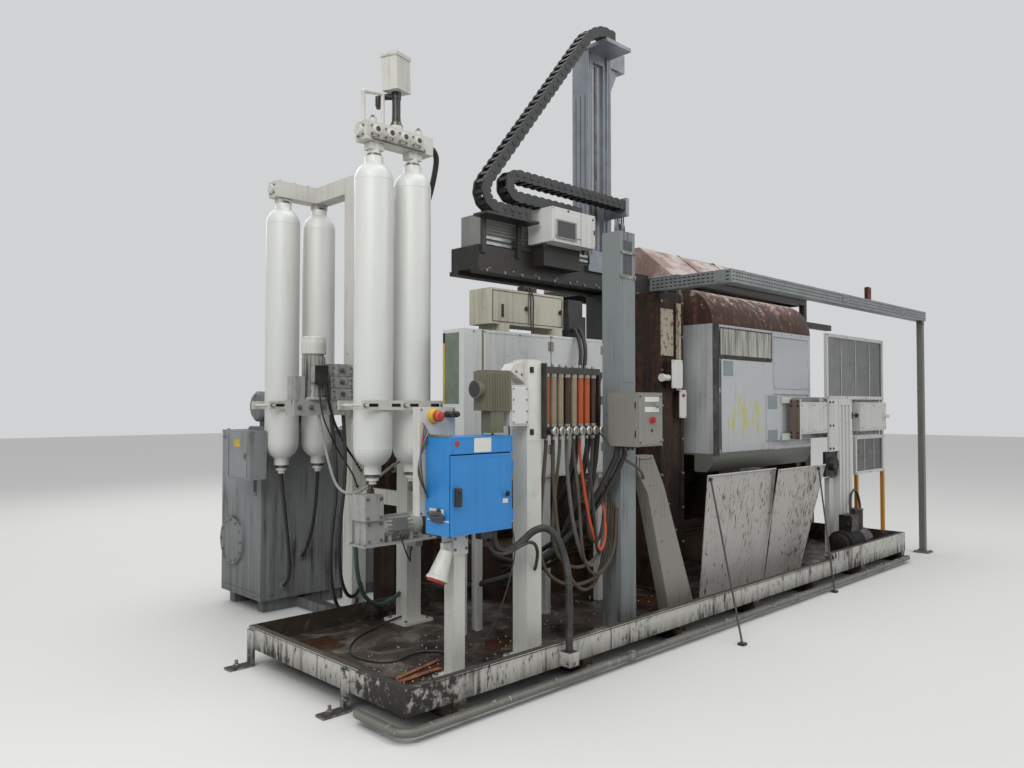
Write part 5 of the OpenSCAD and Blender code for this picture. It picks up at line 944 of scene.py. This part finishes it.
# Painted shade: thin dark strips stand for the shade in the mast's T-slots.
slots = [box(x - 2.5, y, 2860, x + 2.5, y + 0.5, 4590)
         for x, y in product((2816, 2834, 3066, 3084), (1209.3, 1390.2))]
slots += [box(x, y - 3, 2860, x + 0.5, y + 3, 4220) for x, y in product((2799.5, 3100), (1250, 1300, 1350))]
piece("mast_slot_shade", slots, dark_steel_and_hole_shade)
piece("mast_guide_rail", [box(2936, 1252, 2930, 2964, 1259.5, 4500)], neck_steel, bevel=2)
bolts = [screw(2950, 1252, z, 12, 2, 3, 9) for z in range(2960, 4500, 120)]
bolts += [screw(x, 1250, z, 14, 3, 4, 10) for x, z in ((3120, 4300), (3120, 4500), (3222, 4520))]
bolts += [nut(x, y, 2850, UP, 14) for x, y in product((2776, 3124), (1190, 1410))]
bolts += [nut(x, y, 4630, UP, 12) for x, y in product((3000, 3090), (1200, 1360))]
piece("mast_bolts", bolts, zinc_bolts)
piece("mast_head_cover", [box(3322, 1240, 4560, 3328, 1360, 4680)], white_box, bevel=1.5)
grey_plate = [box(2690, 1118, 2700, 2990, 1126, 2752), box(2690, 1126, 2700, 2700, 1150, 2752)]
piece("gantry_grey_plate", grey_plate, mast_aluminium, bevel=1)

# Energy chains: black glass-filled polyamide links with snapped-in crossbars, dull with
# dust on top; pins show as small round caps at each joint of the near plate.
chain_polyamide = moulded("black_chain_polyamide", "#1b1c1e", 0.5, dust="#53514c", share=0.35)
dress(["chain_upright", "chain_level"], chain_polyamide, 0)
LINK = 75
foot, top = Vector((1481, 1010, 3200.7)), Vector((2570, 1010, 4560))
places = [foot.lerp(top, k / 22.5) for k in range(1, 22)] + [(1760 + LINK * k, 1010, 3282.3) for k in range(17)]
places += [(1560 + LINK * k, 1010, 3012.3) for k in range(1, 5)]
piece("chain_pin_caps", [screw(*p, 34, 2.5, 4, 29, sides=16) for p in places], chain_polyamide)
inside = []
for y, d in ((1032, 20), (1056, 26), (1084, 18), (1102, 14)):
    inside += [rod((1486, y, 3206), (2560, y, 4546), d, 10), rod((1765, y, 3284), (3034, y, 3284), d, 10)]
# Cable jackets: dark grey plastic, dull with dust.
cable_jacket = moulded("grey_cable_jacket", "#53565a", 0.45, dust="#3c3a36", share=0.4)
piece("chain_inner_cables", inside, cable_jacket)

# Service column: a grey channel post that carries the wiring box, the flat inclined cable
# trunk and a bundle of leads. Its enamel is chipped and oily towards the floor.
# Three greys: the column's cool and chipped, the trunk's warm with rusty patches, the box's clean.
column_enamel = aged_paint("grey_column_enamel", "#767b7c", grime="#36302a", streaks=0.5, wear=0.3,
                           foot=(110, 900, 0.9))
trunk_enamel = aged_paint("warm_grey_trunk_enamel", "#7f7c75", grime="#3f372d", rust="#4b3020", streaks=0.45,
                          wear=0.3, foot=(110, 420, 0.8), patch=0.2)
box_enamel = aged_paint("warm_grey_box_enamel", "#807e77", grime="#4a463f", streaks=0.3, wear=0.08)
dress(["service_column"], column_enamel, 2)
dress(["cable_trunk"], trunk_enamel, 3)
dress(["junction_box"], box_enamel, 3)
# Labels: bare, with no print, a little grey from dust.
blank_label = moulded("bare_white_label", "#d2d2cc", 0.5, dust="#8d887c", share=0.25)
labels = [box(1773, -108, z0, 1923, -106, z1) for z0, z1 in ((1557, 1589), (1621, 1652))]
piece("junction_bare_labels", labels, blank_label)
switch = [screw(1847, -106, 1506, 46, 8, 10, 40, sides=28), box(1841, -136, 1488, 1853, -115, 1524)]
piece("junction_switch", switch, signal_red, bevel=1)
fittings = [screw(1847, -106, 1440, 20, 4, 5, 17, sides=20)]
fittings += [screw(x, -106, z, 12, 3, 4, 8) for x, z in product((1726, 1944), (1366, 1654))]
fittings += [turned((x, y, 1340), DOWN, [(0, 30), (10, 30), (12, 24), (28, 18)], 12)
             for x, y in product((1735, 1775, 1815), (20, 54, 88))]
fittings += [box(1696, -92, z, 1700, -84, z + 40) for z in (1400, 1580)]
piece("junction_fittings", fittings, black_plastic)
lines = [box(2030, 138.6, 1232, 2190, 140, 1236), box(2044, 138.8, 1168, 2048, 140, 1252),
         box(2424, 138.6, 132, 2676, 140, 135)]
piece("trunk_lid_lines", lines, dark_steel_and_hole_shade)
screws = [screw(x, 140, z, 13, 3, 4, 9) for x, z in (
    (2160, 1050), (2290, 1120), (2228, 870), (2390, 910), (2300, 660), (2470, 720), (2372, 440), (2560, 470),
    (2440, 220), (2640, 260), (2060, 1240), (2180, 1244))]
screws += [nut(x, y, 132, UP, 14) for x, y in product((1800, 2020), (115, 305))]
piece("trunk_screws", screws, zinc_bolts)
cover = [box(1856, 127.6, 1752, 1964, 130, 2440), box(1862, 130, 1760, 1958, 141, 2436)]
piece("column_cover_sheet", cover, column_enamel, bevel=0.8)
clamps = [box(1826, 124, z0, 1994, 129.8, z1) for z0, z1 in ((2436, 2462), (2600, 2622))]
clamps += [nut(x, 124, z, FRONT, 10) for x, z in product((1840, 1980), (2449, 2611))]
piece("column_lead_clamps", clamps, zinc_bolts, bevel=1)
risers = [rod((x, y, 2440), (x, y, 2749.5), d, 10) for x, y, d in
          ((1872, 136, 18), (1894, 137, 16), (1914, 136, 20), (1936, 137, 14), (1950, 135, 12))]
piece("column_riser_cables", risers, cable_jacket)
nuts = [turned((x, 210, 1050), UP, [(0, 26), (14, 30), (26, 30)], 6) for x in (1740, 1772, 1804)]
piece("column_hose_nuts", nuts, neck_steel)

# White pillar: a square tube with a tapered head bracket, a plain white switch box with a
# screwed cover, and an olive lamp housing with cooling ribs on the box's left.
dress(["white_pillar", "cabinet_post", "estop_panel"], shop_white, 2)
# Olive enamel: dark and dull, with brown runs.
lamp_enamel = aged_paint("olive_lamp_enamel", "#64624f", grime="#2f2d25", streaks=0.5, wear=0.2)
dress(["pillar_lamp"], lamp_enamel, 3)
piece("pillar_switch_cover", [box(862, 153, 1492, 990, 160, 1704)], white_box, bevel=2.5)
screws = [screw(x, 153, z, 12, 2.5, 3.5, 8) for x, z in product((872, 980), (1502, 1564, 1632, 1694))]
screws += [nut(x, y, 127, UP, 13) for x, y in product((978, 1142), (148, 312))]
screws += [nut(x, 190, z, FRONT, 8) for x, z in ((930, 1796), (975, 1780))]
piece("pillar_screws", screws, zinc_bolts)
inserts = [box(1020, 165, z, 1052, 168, z + 36) for z in (1424, 1790)]
piece("pillar_black_inserts", inserts, dark_steel_and_hole_shade, bevel=1)
piece("pillar_face_plate", [box(1008, 168, 1394, 1112, 170, 1864)], blank_label, bevel=0.5)
ribs = [box(x, 146, 1580, x + 7, 150, 1780) for x in range(664, 844, 20)]
ribs += [box(672, 150, 1790, 838, 250, 1797), turned((640, 205, 1690), LEFT, [(0, 92), (14, 104), (22, 104)], 28)]
piece("lamp_ribs", ribs, lamp_enamel, bevel=1.5)
piece("lamp_glass", [turned((618.5, 205, 1690), LEFT, [(0, 92), (2, 88)], 28)], smoked)
small_box = [rod((750, 200, 1446), (750, 200, 1402), 12), box(728, 176, 1362, 772, 224, 1404)]
piece("lamp_junction_box", small_box, black_plastic, bevel=2)
piece("lamp_red_dot", [screw(750, 176, 1386, 16, 4, 6, 10, sides=16)], signal_red)

# Flow meters: eight clear tubes between bored black manifolds, most filled orange or brown by
# the water's rust inhibitor, with nickel fittings on top and a round valve knob at each foot.
dress(["flow_panel"], black_plastic, 1)
dress(["flow_tubes"], moulded("rust_stained_tube", "#8a4a2c", 0.22, share=0.2), 0)
# Nickel: a warm bright metal, brown with dust in its corners.
nickel = moulded("nickel_plated_brass", "#a5a39b", 0.3, dust="#4f4638", share=0.4, metallic=0.95)
METERS = range(1160, 1160 + 8 * 62, 62)
# The tubes' colours: stained through, smooth and shiny.
for name, colour, filled in (("orange_brown_tube", "#a5502c", (0, 5, 6)), ("beige_grey_tube", "#8d8069", (1, 2, 4)),
                             ("dark_brown_tube", "#35241b", (3, 7))):
    tubes = [rod((METERS[i], 170, 1472), (METERS[i], 170, 1788), 46, 28) for i in filled]
    piece(name, tubes, moulded(name, colour, 0.14, dust="#4a3b2c", share=0.25))
fittings, knobs = [], []
for x in METERS:
    fittings += [turned((x, 170, 1830), UP, [(0, 26), (10, 26), (11, 20), (20, 18)], 6),
                 turned((x, 170, 1392), UP, [(0, 26), (14, 30), (20, 30)], 6),
                 rod((x, 170, 1770), (x, 170, 1790), 50, 24), rod((x, 170, 1470), (x, 170, 1486), 50, 24)]
    knobs.append(turned((x, 106, 1445), FRONT, [(0, 30), (3, 52), (16, 54), (21, 46), (22, 20)], 24))
# Painted shade: thin dark strips stand for the shade in the knobs' slots.
slots = [box(x - 2.5, 83, 1429, x + 2.5, 84.4, 1461) for x in METERS]
piece("flow_knob_slot_shade", slots, dark_steel_and_hole_shade)
piece("flow_nickel_fittings", fittings, nickel)
piece("flow_valve_knobs", knobs, nickel)
piece("flow_back_sheet", [box(1134, 196, 1470, 1634, 199, 1790)], smoked)
elbow = [box(1634.2, 160, 1770, 1682, 200, 1812), screw(1660, 180, 1772, 44, 20, 24, 38, DOWN, 20)]
piece("flow_outlet_elbow", elbow, black_plastic, bevel=4)

# Control cabinet: folded sheet steel with a blue textured powder coat, a lift-off door with a
# swing handle and a key lock, a bare white label on the fixed strip above, and a cable gland
# plate below. It is the cleanest and brightest thing on the operator's side.
blue_coat = aged_paint("blue_textured_powder_coat", "#2b7fc2", grime="#1d4c74", rust="#20323f",
                       streaks=0.25, wear=0.0, rough=0.42, dusty=0.15, cast=3)
dress(["control_cabinet", "cabinet_door"], blue_coat, 2)
piece("cabinet_strip_edge", border(369, 1342, 810, 1428, 3, 100.6, 103), blue_coat, bevel=1)
piece("cabinet_door_fold", border(384, 925, 794, 1321, 3, 101.8, 103), blue_coat, "cabinet_door",
      bevel=0.8)
piece("cabinet_bare_label", [box(525, 102, 1346, 650, 103, 1424)], blank_label, bevel=0.3)
piece("cabinet_red_sticker", [screw(404, 103, 1396, 34, 1.0, 1.2, 33, sides=28)], signal_red)
swing = [box(384, 75, 1066, 418, 102.5, 1164), screw(401, 76, 1148, 24, 8, 10, 18, sides=20),
         screw(401, 76, 1078, 14, 4, 5, 10, sides=16)]
piece("cabinet_swing_handle", swing, black_plastic, "cabinet_door", bevel=3)
lock = [screw(758, 87, 1110, 32, 5, 7, 26, sides=24), box(756, 78.5, 1102, 760, 80.5, 1118)]
piece("cabinet_key_lock", lock, dark_steel_and_hole_shade, "cabinet_door")
piece("cabinet_lock_sticker", [box(738, 102.2, 1058, 778, 103, 1082)], blank_label, "cabinet_door")
glands = [turned((x, y, 907), DOWN, [(0, 40), (10, 40), (12, 32), (27, 26)], 12)
          for x, y in ((640, 200), (700, 220), (470, 240))]
glands += [box(600, 130, 868, 690, 176, 906.5), screw(366, 200, 1035, 34, 10, 14, 26, LEFT, 16)]
piece("cabinet_glands", glands, black_plastic, bevel=1)
coil = []
for k in range(5):
    turn = [(358 - 3 * k, 214 + (56 + 3 * k) * math.cos(a), 992 + 7 * k + 16 * math.sin(a))
            for a in [math.pi * i / 12 for i in range(25)]]
    coil += [rod(a, b, 6, 6) for a, b in zip(turn, turn[1:])]
piece("cabinet_tied_wire_coil", coil, cable_jacket)
tag = [box(362, 164, 1012, 365.6, 281, 1048), box(364.5, 120, 984, 366, 300, 990)]
piece("cabinet_white_tag", tag, blank_label)
top_bar = [box(362, 128, 1431, 392, 300, 1441)]
top_bar += [box(360, y, 1428, 366, y + 10, 1446) for y in range(140, 292, 38)]
piece("cabinet_top_bar", top_bar, rail_aluminium, bevel=1)
hinge_caps = [turned((819, 111, z), UP, [(0, 12), (6, 10)], 14) for z in (1015, 1288)]
piece("cabinet_hinge_caps", hinge_caps, zinc_bolts)

# Cabinet post and its socket: a square tube with a wider head; a red ring closes the cone.
# Both keep the shop's white enamel, and the ring the signal red.
SOCKET = Vector((427, 215, 817))
lean = Vector((math.sin(math.radians(205)), 0, math.cos(math.radians(205))))
cone_rim = [turned(SOCKET + lean * 140, lean, [(0, 112), (8, 122), (20, 122)], 28)]
piece("socket_flange", cone_rim, shop_white, bevel=1)
red_ring = [turned(SOCKET + lean * 160, lean, [(0, 104), (12, 100)], 28)]
piece("socket_red_ring", red_ring, signal_red)
nuts = [nut(x, y, 124, UP, 13) for x, y in product((456, 598), (194, 336))]
nuts += [nut(x, 213, z, FRONT, 9) for x, z in product((487, 567), (815, 875))]
piece("cabinet_post_nuts", nuts, zinc_bolts)

# Emergency stop: a red mushroom button on a yellow collar, two sockets beside it, and bare
# terminals below. The white plate is bent sheet; red and yellow are the plastic's own colour.
BUTTON_X, BUTTON_Z = 426, 1540
button = [turned((BUTTON_X, 296, BUTTON_Z), FRONT, [(0, 60), (24, 62), (34, 50), (38, 14)], 28)]
piece("estop_red_button", button, signal_red)
# Yellow plastic: even, warm and slightly shiny.
safety_yellow = moulded("safety_yellow_plastic", "#c9a21c", 0.45, share=0.3)
collar = [turned((BUTTON_X, 325.5, BUTTON_Z), FRONT, [(0, 84), (10, 86), (20, 76), (29.5, 72)], 28)]
piece("estop_yellow_collar", collar, safety_yellow)
terminals = [box(412, 310, z, 520, 316, z + 20) for z in range(1186, 1354, 28)]
terminals += [screw(x, 325.5, 1550, 36, 45, 57, 26, sides=16) for x in (516, 556)]
piece("estop_terminals", terminals, black_plastic, bevel=1)
screws = [screw(x, 326, z, 13, 3, 4, 9) for x, z in product((340, 570), (1014, 1576))]
piece("estop_plate_screws", screws, zinc_bolts)


# Hoses: a corrugated conduit, three water hoses, the manifold's oil hose, and the free leads
# and hydraulic hoses around them. Rubber and polyamide, dull with foundry dust.
def through(points, steps=8):
    """A smooth route through given points."""
    p = [Vector(q) for q in points]
    route = []
    for i, j in product(range(len(p) - 1), range(steps)):
        a, b, c, d = p[max(i - 1, 0)], p[i], p[i + 1], p[min(i + 2, len(p) - 1)]
        u = j / steps
        route.append(0.5 * (2 * b + (c - a) * u + (2 * a - 5 * b + 4 * c - d) * u * u
                            + (3 * b - a - 3 * c + d) * u ** 3))
    return route + [p[-1]]


def swept(route, widths, sides=10):
    """A round tube along a route of places in millimetres; widths holds a diameter for each place."""
    line = [at(*q) for q in route]
    points, side = [], None
    for i, p in enumerate(line):
        ahead = (line[min(i + 1, len(line) - 1)] - line[max(i - 1, 0)]).normalized()
        side = ahead.orthogonal() if side is None else side - ahead * side.dot(ahead)
        side.normalize()
        other = ahead.cross(side)
        for a in [2 * math.pi * k / sides for k in range(sides)]:
            points.append(p + (side * math.cos(a) + other * math.sin(a)) * widths[i] / 2000)
    return points, skin(len(line), sides)


def spaced(route, step):
    """The same route with places at an even distance."""
    out, left = [route[0]], step
    for a, b in zip(route, route[1:]):
        length = (b - a).length
        while length > left:
            a = a + (b - a) * (left / length)
            out.append(a)
            length -= left
            left = step
        left -= length
    if (out[-1] - route[-1]).length < step / 2:
        out.pop()
    return out + [route[-1]]


def eased(route, d, passes=30):
    """The same route with its bends opened, as a hose of that diameter opens them; the ends stay."""
    route = spaced(route, max(d, 10))
    for _ in range(passes):
        middle = [(route[i - 1] + route[i] * 2 + route[i + 1]) / 4 for i in range(2, len(route) - 2)]
        route = route[:2] + middle + route[-2:]
    return route


# Rubber, polyamide and silicone: dark and matt, brown with dust on top; one orange sleeve glows.
ribbed_polyamide = moulded("ribbed_black_polyamide", "#191919", 0.55, share=0.35)
black_rubber = moulded("black_hydraulic_rubber", "#171615", 0.5, dust="#3d352b", share=0.5)
brown_rubber = moulded("dirty_brown_rubber", "#3f3226", 0.6, share=0.4)
grey_rubber = moulded("dirty_grey_rubber", "#55544f", 0.6, share=0.4)
orange_sleeve = moulded("orange_silicone_sleeve", "#b4451d", 0.5, dust="#5b3a2a", share=0.35)
olive_rubber = moulded("olive_rubber", "#4a4a36", 0.6, share=0.4)
green_rubber = moulded("dark_green_rubber", "#2b4638", 0.55, share=0.4)
pale_rubber = moulded("pale_flexible_sleeve", "#8f918d", 0.5, share=0.4)


def hose(name, d, points, rubber=black_rubber, node=None, rib=0.0):
    """A hose or lead along its route; a corrugated one has a rib every so many millimetres."""
    route = through(points) if node else eased(through(points), d)
    if rib:
        route = spaced(route, rib / 2)
    made = piece(name, [swept(route, [d - (rib * 0.35 if i % 2 else 0) for i in range(len(route))])], rubber)
    if node:
        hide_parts(node)


# These five keep the routes of the part's own tubes, which they replace.
hose("conduit_corrugated", 44, (
    (760, 200, 906.7), (760, 200, 880), (760, 200, 850), (775, 185, 800), (815, 160, 775), (880, 120, 810),
    (960, 80, 880), (1040, 50, 890), (1100, 15, 820), (1130, -25, 660), (1130, -40, 480), (1130, -40, 330),
    (1130, -40, 260), (1130, -40, 190.3)), ribbed_polyamide, node="pillar_conduit", rib=9)
hose("water_hose_brown", 24, (
    (1222, 170, 1389.7), (1222, 170, 1350), (1222, 170, 1310), (1235, 175, 1100), (1290, 185, 800),
    (1390, 195, 560), (1530, 200, 440), (1670, 205, 480), (1760, 210, 680), (1798, 210, 880),
    (1804, 210, 980), (1804, 210, 1015), (1804, 210, 1049.7)), brown_rubber, "brown_hose")
hose("water_hose_grey", 24, (
    (1346, 170, 1389.7), (1346, 170, 1350), (1346, 170, 1310), (1355, 165, 1120), (1400, 160, 860),
    (1480, 160, 660), (1580, 165, 590), (1680, 180, 660), (1745, 200, 840), (1770, 210, 960),
    (1772, 210, 990), (1772, 210, 1020), (1772, 210, 1049.7)), grey_rubber, "grey_hose")
hose("water_hose_orange", 18, (
    (1470, 170, 1389.7), (1470, 170, 1350), (1470, 170, 1310), (1478, 150, 1120), (1510, 130, 900),
    (1560, 120, 750), (1620, 125, 690), (1685, 145, 760), (1725, 180, 880), (1740, 208, 960),
    (1740, 210, 990), (1740, 210, 1020), (1740, 210, 1049.7)), orange_sleeve, "orange_hose")
hose("oil_hose_manifold", 40, (
    (1055.3, 1176, 3350), (1080, 1176, 3350), (1105, 1176, 3350), (1150, 1200, 3290), (1165, 1270, 3120),
    (1158, 1340, 2960), (1150, 1375, 2860), (1150, 1380, 2790), (1150, 1380, 2745), (1150, 1380, 2700.3)),
     node="manifold_hose")

# Hydraulic and water hoses from the wiring box, the coupler box and the meters down behind the
# pillar into the bed, and the leads beside them. Their hidden ends are on the nearest unit.
hose("bundle_hose_left", 38, (
    (1735, 90, 1312), (1735, 92, 1270), (1722, 130, 1170), (1660, 220, 980), (1580, 310, 790), (1460, 400, 640),
    (1340, 520, 540), (1260, 660, 470), (1215, 860, 410), (1190, 1060, 372), (1175, 1240, 350),
    (1160, 1350, 342), (1140, 1380, 340), (1120.5, 1380, 340)))
hose("bundle_hose_right", 34, (
    (1815, 88, 1312), (1815, 92, 1260), (1800, 150, 1130), (1752, 270, 950), (1712, 430, 790), (1715, 620, 660),
    (1745, 850, 540), (1790, 1060, 430), (1835, 1230, 350), (1865, 1310, 312), (1899.5, 1330, 300)))
hose("bundle_hose_middle", 30, (
    (1775, 54, 1312), (1775, 56, 1265), (1760, 110, 1150), (1700, 210, 960), (1640, 330, 780), (1600, 500, 620),
    (1620, 720, 470), (1700, 960, 360), (1790, 1150, 270), (1850, 1260, 235), (1899.5, 1300, 225)))
hose("olive_hose", 18, (
    (1634.5, 170, 1445), (1654, 170, 1443), (1675, 164, 1430), (1690, 152, 1400), (1700, 130, 1350),
    (1715, 100, 1300), (1750, 68, 1262), (1810, 48, 1235), (1880, 45, 1208), (1950, 58, 1172), (2010, 84, 1142),
    (2055, 112, 1122), (2085, 139.5, 1108)), olive_rubber)
hose("sensor_lead_left", 11, (
    (1745, 904.5, 2430), (1745, 890, 2430), (1744, 866, 2410), (1742, 860, 2340), (1740, 860, 2240),
    (1740, 856, 2160), (1740, 850, 2125), (1740, 848, 2100.5)))
hose("sensor_lead_right", 11, (
    (1772, 904.5, 2426), (1772, 890, 2426), (1771, 865, 2404), (1768, 859, 2330), (1764, 859, 2240),
    (1762, 856, 2160), (1762, 850, 2125), (1762, 848, 2100.5)))
hose("coupler_cable_left", 30, (
    (2150, 824.5, 2160), (2150, 806, 2159), (2149, 780, 2150), (2147, 750, 2128), (2143, 728, 2092),
    (2138, 716, 2040), (2126, 714, 1950), (2110, 720, 1850), (2090, 735, 1700), (2074, 742, 1450),
    (2066, 750, 1200), (2058, 800, 1010), (2050, 930, 820), (2042, 1080, 650), (2036, 1175, 570),
    (2032, 1249.5, 520)))
hose("coupler_cable_right", 30, (
    (2204, 824.5, 2164), (2204, 806, 2163), (2203, 780, 2154), (2201, 750, 2132), (2197, 728, 2096),
    (2190, 716, 2044), (2176, 714, 1950), (2158, 720, 1850), (2136, 735, 1700), (2118, 742, 1450),
    (2108, 750, 1200), (2102, 800, 1010), (2098, 930, 820), (2094, 1080, 650), (2092, 1175, 570),
    (2090, 1249.5, 520)))
hose("meter_outlet_hose", 38, (
    (1660, 180, 1748), (1660, 180, 1720), (1661, 181, 1660), (1666, 184, 1560), (1672, 190, 1440),
    (1678, 210, 1260), (1662, 238, 1080), (1642, 268, 900), (1640, 360, 700), (1690, 560, 540),
    (1760, 820, 440), (1830, 1080, 395), (1878, 1260, 385), (1899.5, 1330, 385)))
hose("meter_back_hose", 38, (
    (1640, 230, 1470), (1640, 232, 1440), (1632, 244, 1320), (1600, 262, 1120), (1560, 300, 920),
    (1550, 400, 720), (1610, 620, 560), (1710, 880, 480), (1810, 1160, 452), (1868, 1340, 448),
    (1899.5, 1410, 446)))
hose("pillar_thin_lead", 9, (
    (900, 220, 1479.5), (900, 219, 1440), (893, 207, 1370), (880, 192, 1260), (868, 180, 1100), (856, 168, 980),
    (842, 130, 890), (826, 96, 820), (808, 84, 740), (755, 112, 520), (700, 160, 350), (640, 210, 240),
    (600, 250, 205), (567.5, 262, 200)))
hose("second_conduit", 20, (
    (700, 220, 880), (700, 219, 850), (702, 212, 815), (712, 198, 780), (735, 176, 750), (770, 148, 740),
    (808, 122, 754), (845, 104, 788), (890, 90, 826), (940, 84, 845), (988, 88, 830), (1025, 102, 785),
    (1048, 122, 730), (1058, 142, 680), (1060, 169.5, 635)), ribbed_polyamide)

# Hoses and leads round the bottles, the valves, the tank and the pan, as the photo shows them:
# limp loops that hang from a union and lie on the pan where they reach it.
hose("green_hose", 28, (
    (500, 1190, 717.5), (500, 1190, 690), (506, 1196, 620), (545, 1230, 470), (640, 1285, 340),
    (760, 1340, 262), (880, 1378, 250), (955, 1394, 285), (999.5, 1400, 310)), green_rubber)
hose("pale_flexible_hose", 20, (
    (640, 1862, 1529.5), (640, 1862, 1490), (650, 1835, 1380), (662, 1760, 1180), (670, 1696, 1040),
    (690, 1640, 985), (730, 1560, 985), (780, 1460, 1050), (850, 1380, 1150), (920, 1335, 1210),
    (999.5, 1330, 1240)), pale_rubber)
hose("valve_hose_left", 26, (
    (740, 1870, 1529.5), (742, 1866, 1470), (740, 1820, 1300), (720, 1760, 1000), (650, 1715, 700),
    (640, 1705, 420), (690, 1710, 200), (790, 1740, 110), (880, 1790, 100), (940, 1835, 150),
    (960, 1869.5, 205)))
hose("valve_hose_right", 26, (
    (840, 1870, 1529.5), (842, 1868, 1480), (838, 1840, 1330), (800, 1780, 1050), (730, 1735, 760),
    (720, 1725, 480), (780, 1745, 270), (880, 1790, 200), (960, 1830, 250), (1000, 1869.5, 300)))
hose("motor_lead", 11, (
    (605, 1800, 1721.5), (605, 1800, 1700), (602, 1793, 1640), (612, 1786, 1560), (645, 1790, 1470),
    (705, 1802, 1370), (785, 1828, 1260), (870, 1848, 1160), (935, 1860, 1070), (960, 1869.5, 1010)))
hose("pump_lead", 10, (
    (750, 1062, 773.5), (750, 1060, 762), (751, 1046, 746), (754, 1034, 722), (768, 1034, 672),
    (820, 1060, 610), (900, 1150, 570), (975, 1255, 590), (1028, 1304, 618), (1040, 1319.5, 628)))
hose("rear_hose_left", 26, (
    (671, 2448, 1085.5), (671, 2448, 1040), (684, 2436, 900), (708, 2420, 620), (740, 2430, 380),
    (772, 2490, 250), (786, 2570, 208), (790, 2627.5, 200)))
hose("rear_hose_right", 26, (
    (981, 2448, 1085.5), (981, 2448, 1040), (978, 2456, 900), (966, 2490, 640), (952, 2550, 460),
    (946, 2596, 415), (945, 2627.5, 410)))
hose("pan_loop_cable", 13, (
    (612, 330, 135), (630, 336, 124), (680, 380, 119), (748, 470, 119), (764, 600, 119), (716, 720, 119),
    (600, 745, 119), (470, 690, 119), (380, 720, 119), (330, 850, 119), (350, 1020, 119), (470, 1180, 119),
    (640, 1300, 120), (800, 1360, 126), (900, 1376, 140), (999.5, 1380, 150)))
hose("drive_loop_hose", 26, (
    (5690, 250, 500), (5700, 262, 520), (5760, 300, 640), (5900, 330, 760), (6040, 340, 720), (6080, 320, 560),
    (5980, 290, 440), (5860, 262, 400), (5790, 235, 380), (5761, 200, 330)))

# Water hoses of the other five meters: each hangs in a round loop to a union on the column's
# far side. The solenoid valves' leads hang from their plugs to the glands in the rack.
COLUMN_X = 1814
for i, (x, d, rubber, low, lane, y_end, z_end) in enumerate((
    (1160, 24, brown_rubber, 470, 236, 160, 930), (1284, 22, olive_rubber, 560, 244, 232, 1000),
    (1408, 20, brown_rubber, 520, 112, 186, 960), (1532, 20, black_rubber, 640, 104, 256, 970),
    (1594, 24, brown_rubber, 680, 226, 262, 960),
)):
    wide = (COLUMN_X - x - 10) / 2
    deep = min(1.15 * wide, 230)
    bottom = [(x + 10 + wide - wide * math.cos(t), lane + (y_end - lane) * (1 - math.cos(t)) / 2,
               low + deep - deep * math.sin(t)) for t in [math.pi * k / 6 for k in range(7)]]
    hose("meter_loop_%d" % (i + 1), d, (
        (x, 170, 1391.5), (x, 170, 1350), (x + 1, 171, 1290), (x + 5, (170 + lane) / 2, 1130), *bottom,
        (1816, y_end, (low + deep + z_end) / 2), (1820, y_end, z_end - 40), (1829.5, y_end, z_end)),
        rubber)
for i in range(3):
    z = 1704 + 85 * i
    hose("valve_lead_%d" % (i + 1), 9, (
        (682, 1871.5, z), (682, 1852, z - 2), (682, 1834, z - 16), (681, 1824, z - 46), (686, 1822, z / 2 + 757),
        (706 + 6 * i, 1826, 1560), (732 + 6 * i, 1834, 1490), (785 + 6 * i, 1844, 1400),
        (858, 1856, 1305 - 10 * i), (922 + 12 * i, 1863, 1225 - 18 * i), (958 + 16 * i, 1869.5, 1170 - 22 * i)))

# Leads from the chain to the column's head, tied by clamps there, and the thin shiny coloured
# wires beside the emergency stop. The wires aren't declared, because only 40 cords may be.
for i, (y, d) in enumerate(((1040, 13), (1062, 15), (1086, 12), (1106, 14), (1128, 11))):
    x_end, y_end = 1856 + 26 * i, 190 + 12 * (i % 3)
    hose("chain_lead_%d" % (i + 1), d, (
        (3050, y, 3189.5), (3048, y, 3160), (3020, y - 20, 3090), (2900 - 20 * i, 940, 2985 - 12 * i),
        (2620, 730 + 6 * i, 2890 - 22 * i), (2330 + 8 * i, 520, 2840 - 16 * i),
        (2090 + 12 * i, 330, 2850 - 8 * i), (x_end + 40, y_end + 30, 2838), (x_end + 4, y_end + 3, 2795),
        (x_end, y_end, 2750.5)), cable_jacket)
for k, (colour, code) in enumerate((
    ("red", "#a3322a"), ("black_1", "#1b1b1b"), ("blue", "#2f6aa8"), ("black_2", "#23211f"),
    ("yellow", "#b79a2e"), ("black_3", "#1b1b1b"), ("grey", "#4b4b48"), ("black_4", "#1b1b1b"),
)):
    i = 0.57 * k
    hose("panel_wire_" + colour, 5, (
        (350 + 14 * i, 325.5, 1500 - 20 * i), (350 + 14 * i, 316, 1500 - 20 * i), (330 + 8 * i, 296, 1470 - 18 * i),
        (300 - 6 * i, 270, 1400 - 24 * i), (286 - 4 * i, 258, 1310 - 26 * i), (296 + 6 * i, 262, 1240 - 24 * i),
        (320 + 8 * i, 290, 1190 - 22 * i), (342 + 10 * i, 314, 1170 - 22 * i), (350 + 12 * i, 325.5, 1168 - 22 * i)),
        moulded(colour + "_wire_jacket", code, 0.4, share=0.25))
